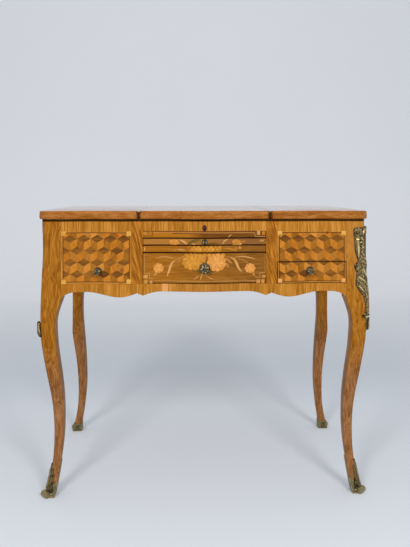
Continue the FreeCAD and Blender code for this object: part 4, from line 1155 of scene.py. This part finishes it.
keeper_low, keeper_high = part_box("lock_keeper")
bolt_low, bolt_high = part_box("lock_bolt")
play = mathutils.Vector((room_play, room_play, room_play))
lock_rooms = [(keeper_low - play, keeper_high + play),
              ((bolt_low.x - bolt_play, bolt_low.y - bolt_play, lid_low.z - room_over),
               (bolt_high.x + bolt_play, bolt_high.y + bolt_play, bolt_high.z + bolt_room))]
for side, axis, rooms, plan in (
        ("left", 1, [], (-lid_half, -lid_joint - joint_gap / 2,
                         lid_corner, lid_joint_corner, lid_back_corner, lid_sharp_corner)),
        ("centre", 0, lock_rooms, (-lid_joint, lid_joint, lid_joint_corner, lid_joint_corner,
                                   lid_sharp_corner, lid_sharp_corner)),
        ("right", 1, [], (lid_joint + joint_gap / 2, lid_half,
                          lid_joint_corner, lid_corner, lid_sharp_corner, lid_back_corner))):
    lid = piece(f"lid_{side}_veneered", [lid_shell(lid_outline(*plan))], lid_finish,
                side + "_lid", ["lid_" + side])
    let_in(lid, leaf_rooms("lid_hinge_leaves_" + side, axis) + rooms)


# The corner mount: a scroll, leaves and a twisted stem of bronze on a thin plate, cast,
# chased, once gilt and nailed round the right corner. Of the left one a single leaf is
# left. They are dark in the hollows and rubbed bright on the high places.

cast_cycles = 220
cast_uneven = 0.9
cast_rubbed = (0.22, 0.92)
spark_cycles = 420
spark_rarity = (0.60, 0.68)
cast = Finish("chased_bronze", Metallic=0.8, Roughness=0.42)
tone = cast.own("tone")
cast_cloud = cast.speckle(cast_cycles, detail=4.0)
shine = (tone + (cast_cloud - 0.5) * cast_uneven).ramp(*cast_rubbed)
cast_colour = cast.mix(shine, shade(46, 35, 16), shade(222, 194, 132))
# Painted glints: small near-white specks on the brighter parts of the casting.
painted_glints = cast.speckle(spark_cycles, detail=1.0).ramp(*spark_rarity) * tone
cast.show(Base_Color=cast.mix(painted_glints.ramp(0.3, 0.8), cast_colour, shade(250, 238, 205)),
          Roughness=0.52 - shine * 0.2)
cast.relief(cast_cloud, depth=0.0002)

# Each row below is a part of the casting: its brightness, half its width, its outline and
# the knots of its middle line round the corner and up, in millimetres.

chute_shapes = (
    (0.35, 1.5, bar, (27.5, 712), (27.5, 693)), (0.45, 1.5, bar, (28.5, 711.5), (8, 711.5)),
    (0.3, 1.5, bar, (28, 692.5), (14, 693)), (0.3, 5, disc, (25, 702.5), (14, 702.5)),
    (0.75, 2.5, disc, (21, 702), (15, 702)),
    (0.6, 4.25, leaf, (7.5, 694.5), (1.5, 708), (-9.5, 717.5)),
    (0.9, 2.75, leaf, (-8.5, 697), (-15.5, 708), (-6.5, 718.5)),
    (0.4, 2, leaf, (10, 712.5), (8.5, 692)), (0.98, 4, disc, (24.5, 683.5), (14.5, 684)),
    (0.85, 4.25, leaf, (21, 686), (17, 658.5), (18, 631.5)),
    (0.45, 2, leaf, (25, 678.5), (23, 654.5), (19, 634)),
    (0.85, 2, leaf, (12.5, 689), (8, 685), (3, 677.5)),
    (0.6, 2, leaf, (12.5, 679), (7.5, 675), (2.5, 667.5)),
    (0.85, 2, leaf, (12, 669.5), (7, 665), (1.5, 657.5)),
    (0.6, 2, leaf, (12, 659.5), (6.5, 655), (1, 647.5)),
    (0.85, 2, leaf, (11.5, 649.5), (6.5, 645), (0, 637.5)),
    (0.6, 2, leaf, (11.5, 639.5), (6, 635), (0, 627.5)),
    (0.85, 2, leaf, (11.5, 629.5), (6, 625), (-0.5, 618)),
    (0.6, 2, leaf, (11, 619.5), (6, 615), (-1, 608)), (0.95, 2.5, disc, (13.5, 676), (8.5, 676)),
    (0.98, 2.5, disc, (8, 661), (2.5, 661)), (0.8, 2, disc, (10, 650.5), (6, 650.5)),
    (0.4, 2, leaf, (-5, 695), (-3.5, 672), (-0.5, 652)), (0.8, 2.75, disc, (1.5, 632.5), (-8, 632.5)),
    (0.85, 2.75, disc, (0.5, 618.5), (-10.5, 618.5)), (0.5, 2.5, leaf, (-7.5, 626.5), (-13, 600.5)),
    (0.35, 3.5, leaf, (12, 626.5), (19.5, 618.5), (26, 608)),
    (0.85, 1.75, disc, (25.5, 611.5), (21, 611.5)), (0.8, 1.5, disc, (17.5, 618.5), (13.5, 618.5)),
    (0.5, 2.5, leaf, (13, 610.5), (19, 606), (24, 598)),
    (0.9, 1.5, disc, (20.5, 607.5), (16.5, 607.5)),
    (0.98, 2.5, leaf, (22.5, 586), (11, 579), (-1, 565)),
    (0.88, 2.25, leaf, (23, 560), (12.5, 554), (6.5, 541)),
    (0.92, 2.5, leaf, (6.5, 610), (2, 594.5), (-12, 577.5)),
    (0.6, 2, leaf, (10.5, 611), (8, 594.5), (4.5, 576)),
    (0.4, 1.5, leaf, (16, 598.5), (9.5, 582.5), (3, 570)),
    (0.5, 2.75, leaf, (21, 573), (11, 566), (0, 552)),
    (0.5, 2.75, bar, (5.5, 562.5), (2, 538.5), (2, 487.5)),
    (0.7, 3.5, bar, (-3, 566.5), (-8, 538.5), (-4, 487.5)),
    (0.45, 3.5, bar, (-13, 578.5), (-13, 538.5), (-10, 487.5)),
    (0.3, 3.25, disc, (14.5, 480), (7.5, 480)), (0.92, 3, disc, (6.5, 478), (0, 477.5)),
    (0.55, 3.5, disc, (-3, 481.5), (-8, 481.5)),
    (0.65, 4.75, leaf, (-5, 475.5), (-7.5, 459), (-0.5, 441)),
    (0.25, 1.5, leaf, (2, 471), (0.5, 459), (1, 444.5)), (0.8, 1.5, leaf, (0.5, 502.5), (-3, 490.5)))
plate_outline = ((0.000, 0.00), (0.022, 0.10), (0.109, 0.21), (0.127, 0.42), (0.145, 0.54),
                 (0.170, 0.26), (0.247, 0.22), (0.326, 0.30), (0.384, 0.63), (0.443, 0.89),
                 (0.519, 0.82), (0.551, 0.77), (0.606, 0.96), (0.638, 0.96), (0.664, 0.66),
                 (0.711, 0.77), (0.798, 0.95), (0.896, 0.95), (0.910, 1.00), (0.983, 1.00),
                 (1.000, 0.90))
plate_half = 0.024
plate_low = rails_z - 0.126
plate_high = case_top - 0.022
plate_thick = 0.0048
plate_lift = 0.0002
plate_trim = 0.001
plate_tone = 0.34
plate_swell = ((0.0, 0.3), (0.035, 0.5), (0.06, 1.0), (0.17, 1.0), (0.2, 0.95))
plate_rows = 90
plate_columns = 25
plate_rim_power = 8
boss_steepness = 1.6
boss_end = 0.2
boss_dark = 0.12
cast_high = 0.0078
cast_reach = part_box("corner_mount_right")[1].x - case_half - plate_lift
sunk = -0.0008


def round_corner(around, z, proud, side=1):
    """Points on a front leg: how far round its corner towards the front, the level, and how
    far they stand out. The corner is an arc with a flat on either side."""
    out, size, radius = leg_measures(z, front_out)
    proud = np.minimum(proud, cast_reach - out)
    quarter = radius * math.pi / 4
    turn = math.pi / 4 + np.clip(around, -quarter, quarter) / radius
    x = out - radius + (radius + proud) * np.cos(turn) - np.maximum(around - quarter, 0)
    y = out - radius + (radius + proud) * np.sin(turn) - np.maximum(-around - quarter, 0)
    return to_corner(np.stack([x, y, z + 0 * x], axis=-1), side, -1)


def plate():
    """The thin ground of the mount, row by row upwards, both faces in one loop: as wide on
    the corner as its outline's shares, its rise falling to the rims by an eighth power."""
    z = np.linspace(plate_low + plate_trim, plate_high, plate_rows)
    over = np.linspace(-1, 1, plate_columns)
    share, width = np.array(plate_outline).T
    reach = plate_half * np.interp((z - plate_low) / (plate_high - plate_low), share, width)
    radius = leg_measures(z, front_out)[2]
    bent = radius * np.arcsin(np.clip(reach / radius, 0, math.sin(math.pi / 4)))
    flat = np.maximum(reach * math.sqrt(2) - radius, 0)
    around = (bent + flat)[:, None] * over
    from_low, swell = np.array(plate_swell).T
    rise = plate_thick * np.interp(z, plate_low + from_low, swell)
    proud = rise[:, None] * (1 - over ** plate_rim_power) + plate_lift
    level = np.broadcast_to(z[:, None], around.shape)
    outer = round_corner(around, level, proud)
    inner = round_corner(around[:, ::-1], level, sunk)
    return np.concatenate([outer, inner], axis=1), False, True, True, plate_tone


def boss(shape, side=1):
    """A leaf, bead or stem of the casting: half a circle across, as high as its width and
    the root of its outline give, and bright along its ridge."""
    tone, half_width, outline, *knots = shape
    points, along, over = ribbon(half_width / per_metre, outline, np.array(knots) / per_metre, 9)
    swell = np.sqrt(1 - over ** 2) * np.minimum(np.sqrt(outline(along)) + boss_end, 1)
    high = min(half_width / per_metre * boss_steepness, cast_high - plate_thick / 2)
    proud = plate_thick / 2 + high * swell
    outer = round_corner(points[..., 0], points[..., 1], proud, side)
    inner = round_corner(points[:, ::-1, 0], points[:, ::-1, 1], sunk, side)
    tones = tone * (boss_dark + (1 - boss_dark) * swell)
    loops = np.concatenate([outer, inner], axis=1)
    return loops, False, True, True, np.concatenate([tones, tones[:, ::-1] * 0], axis=1)


piece("corner_mount_cast", [plate()] + [boss(shape) for shape in chute_shapes], cast, "case",
      ["corner_mount_right"], crease=50.0)
leaf_shapes = (
    (0.35, 6, leaf, (-2, 470), (-4, 452), (2, 428)), (0.7, 2.5, leaf, (1, 466), (0, 452), (3, 434)),
    (0.85, 1.5, leaf, (-4, 468), (-5.5, 455), (-2, 438)), (0.9, 2, disc, (-2, 464), (3, 464)))
piece("corner_leaf_cast", [boss(shape, -1) for shape in leaf_shapes], cast, "case",
      ["corner_leaf_left"], crease=50.0)


# The shoes: four bronze castings nailed over the feet. The front ones are chased with a
# leaf up the corner, its ribs and veins, a scroll on each side and beads over the sole.

bronze_cycles = 160
bronze_uneven = 0.16
bronze_rubbed = (0.46, 0.56)
bronze = Finish("old_bronze", Metallic=0.85, Roughness=0.38)
bronze_cloud = bronze.speckle(bronze_cycles, detail=4.0)
wear = bronze.node("ShaderNodeNewGeometry", {}, {}, "Pointiness")
wear = (wear + (bronze_cloud - 0.5) * bronze_uneven).ramp(*bronze_rubbed)
bronze.show(Base_Color=bronze.mix(wear, shade(40, 35, 20), shade(148, 134, 94)),
            Roughness=0.5 - wear * 0.18)
bronze.relief(bronze_cloud, depth=0.0012)
for node in ("sabot_front_left", "sabot_front_right", "sabot_back_left", "sabot_back_right"):
    own_material(node, bronze)

shoe_shapes = [(0.5, 2.0, leaf, (0, 8), (0, 84)), (0.6, 3.2, disc, (-4, 15), (4, 15))]
for way in (-1, 1):
    shoe_shapes += [(0.42, 1.5, leaf, (way * 1.5, low_end), (way * 5, low_end + 13),
                     (way * reach, low_end + 25)) for low_end, reach in ((14, 9), (30, 6.5), (46, 4))]
    shoe_shapes += [(0.3, 1.4, leaf, (way * 9, 8), (way * 12, 22), (way * 10, 36)),
                    (0.45, 1.6, leaf, (way * 13, 6), (way * 18, 20), (way * 17, 36)),
                    (0.6, 2.4, disc, (way * 11.5, 11), (way * 16.5, 11))]
    shoe_shapes += [(0.55, 1.5, disc, (way * at - 1.6, 4.5), (way * at + 1.6, 4.5))
                    for at in (3, 7, 11, 15, 19)]
for side, side_name in ((-1, "left"), (1, "right")):
    piece("shoe_chasing_" + side_name, [boss(shape, side) for shape in shoe_shapes], cast, "case",
          crease=50.0)


# The knobs: turned brass stems with a rosette head of petals, screwed through the fronts.
# The metal is dark between the petals, rubbed bright at their ends and given painted glints.

knob_cycles = 400
knob_uneven = 1.5
knob_rubbed_and_glint = (0.25, 0.95)
knob_metal = Finish("worn_knobs_glinting", Metallic=0.7, Roughness=0.4)
tone = knob_metal.own("tone")
knob_cloud = knob_metal.speckle(knob_cycles)
shine = (tone + (knob_cloud - 0.5) * knob_uneven).ramp(*knob_rubbed_and_glint)
knob_metal.show(Base_Color=knob_metal.mix(shine, shade(54, 48, 28), shade(236, 219, 172)),
                Roughness=0.5 - shine * 0.15)

knob_profile = ((0.00, 1.00), (0.09, 1.00), (0.18, 0.70), (0.32, 0.34), (0.46, 0.36),
                (0.68, 0.76), (0.80, 0.74))
knob_length = 0.024
slide_knob_length = 0.015
large_knob = 0.010
petal_count = 7
petal_depth = 0.16
stem_rings = 41
cap_rings = 12
cap_least = 0.02
knob_columns = 98
head_start = 0.5
head_growth = 0.15
hollow_tone = 0.15
petal_tone = 0.95


def rosette(x, z, length, radius):
    """A knob as rings about its axis, its profile closed by a cap of a ball. Between petals
    the head's radius and height are drawn in by the sixth power of a cosine."""
    up, out = np.array(knob_profile).T
    rim = out[-1] * radius
    drop = (1 - up[-1]) * length
    ball = (rim ** 2 + drop ** 2) / (2 * drop)
    stem = np.linspace(0, up[-1], stem_rings)
    cap = np.linspace(1, cap_least, cap_rings)[1:] * rim
    ring = np.concatenate([np.interp(stem, up, out) * radius, cap])
    rise = np.concatenate([stem * length, length - ball + np.sqrt(ball ** 2 - cap ** 2)])
    head = np.clip((rise / length - head_start) / head_growth, 0, 1)
    turn = np.linspace(0, 2 * math.pi, knob_columns, endpoint=False)
    dip = np.sin(turn * petal_count / 2) ** 2
    dip = head[:, None] * (1 - dip[None]) ** 3
    reach = ring[:, None] * (1 - petal_depth * dip)
    back = rise[:, None] - petal_depth * 0.5 * dip * ring[:, None]
    points = np.stack([x + reach * np.cos(turn), front_line(np.array(x)) - back,
                       z + reach * np.sin(turn)], axis=-1)
    light = head[:, None] * (1 - dip) * np.clip(ring[:, None] / rim, 0, 1) ** 2
    # Painted glints: the slide knob's head brightest at its left and right, the larger heads brighter
    # in an uneven band.
    painted_glint = np.cos(turn) ** 2
    if radius > large_knob:
        painted_glint = 0.35 + 0.4 * np.sin(turn * 1.5 + 0.6) ** 2
    return points, False, True, True, hollow_tone + petal_tone * light * painted_glint


for node, body, length in (
        ("false_knob_left", "case", knob_length), ("right_drawer_knob", "right_drawer", knob_length),
        ("centre_drawer_knob", "centre_drawer", knob_length),
        ("slide_knob", "slide", slide_knob_length)):
    low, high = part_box(node)
    middle = (low + high) / 2
    piece(node + "_rosette", [rosette(middle.x, middle.z, length, high.x - middle.x)],
          knob_metal, body, [node], crease=40.0)


# The hinges and the lock: brass leaves and pins, the lock's case and bolt and the plate
# that the bolt shoots into, all let in flush and screwed.

brass = Finish("dull_brass", Metallic=0.9, Roughness=0.4)
brass_cloud = brass.speckle(240)
brass.show(Base_Color=brass.mix(brass_cloud, shade(122, 92, 44), shade(196, 158, 88)))
for node in ("case_hinge_leaves", "hinge_pins", "lid_hinge_leaves_left", "lid_hinge_leaves_right",
             "lid_hinge_leaves_centre", "lock_case", "lock_bolt", "lock_keeper"):
    own_material(node, brass)


# The keyhole's escutcheon: a thin liner round the keyhole, dark as horn with age, pressed
# into the lock rail and flush with its face.

horn = Finish("dark_horn", Roughness=0.5)
horn_cloud = horn.cloud(horn.x * 300, horn.y * 300, horn.z * 160)
horn.show(Base_Color=horn.mix(horn_cloud, shade(14, 7, 6), shade(44, 23, 22)))
own_material("keyhole_escutcheon", horn)


# The mirror: a thick old silvered plate let against the middle lid, held by a
# stained and rounded moulding mitred at its corners.

silver = Finish("silvered_glass", Metallic=1.0, Roughness=0.03)
silver_cloud = silver.speckle(40)
silver.show(Base_Color=silver.mix(silver_cloud.ramp(0.6, 0.9), shade(226, 230, 232),
                                  shade(206, 208, 204)))
own_material("mirror_plate", silver)
mirror_wood = Finish("mirror_moulding", Roughness=0.35, Coat_Weight=0.3)
mirror_grain = streaks(mirror_wood, mirror_wood.x, mirror_wood.y, mirror_wood.z, 81.0)
mirror_wood.show(Base_Color=wood_colour(mirror_wood, mirror_grain, shade(74, 40, 20),
                                        shade(104, 60, 30), shade(128, 80, 44)))
for node in ("mirror_mouldings_ends", "mirror_mouldings_sides"):
    own_material(node, mirror_wood)
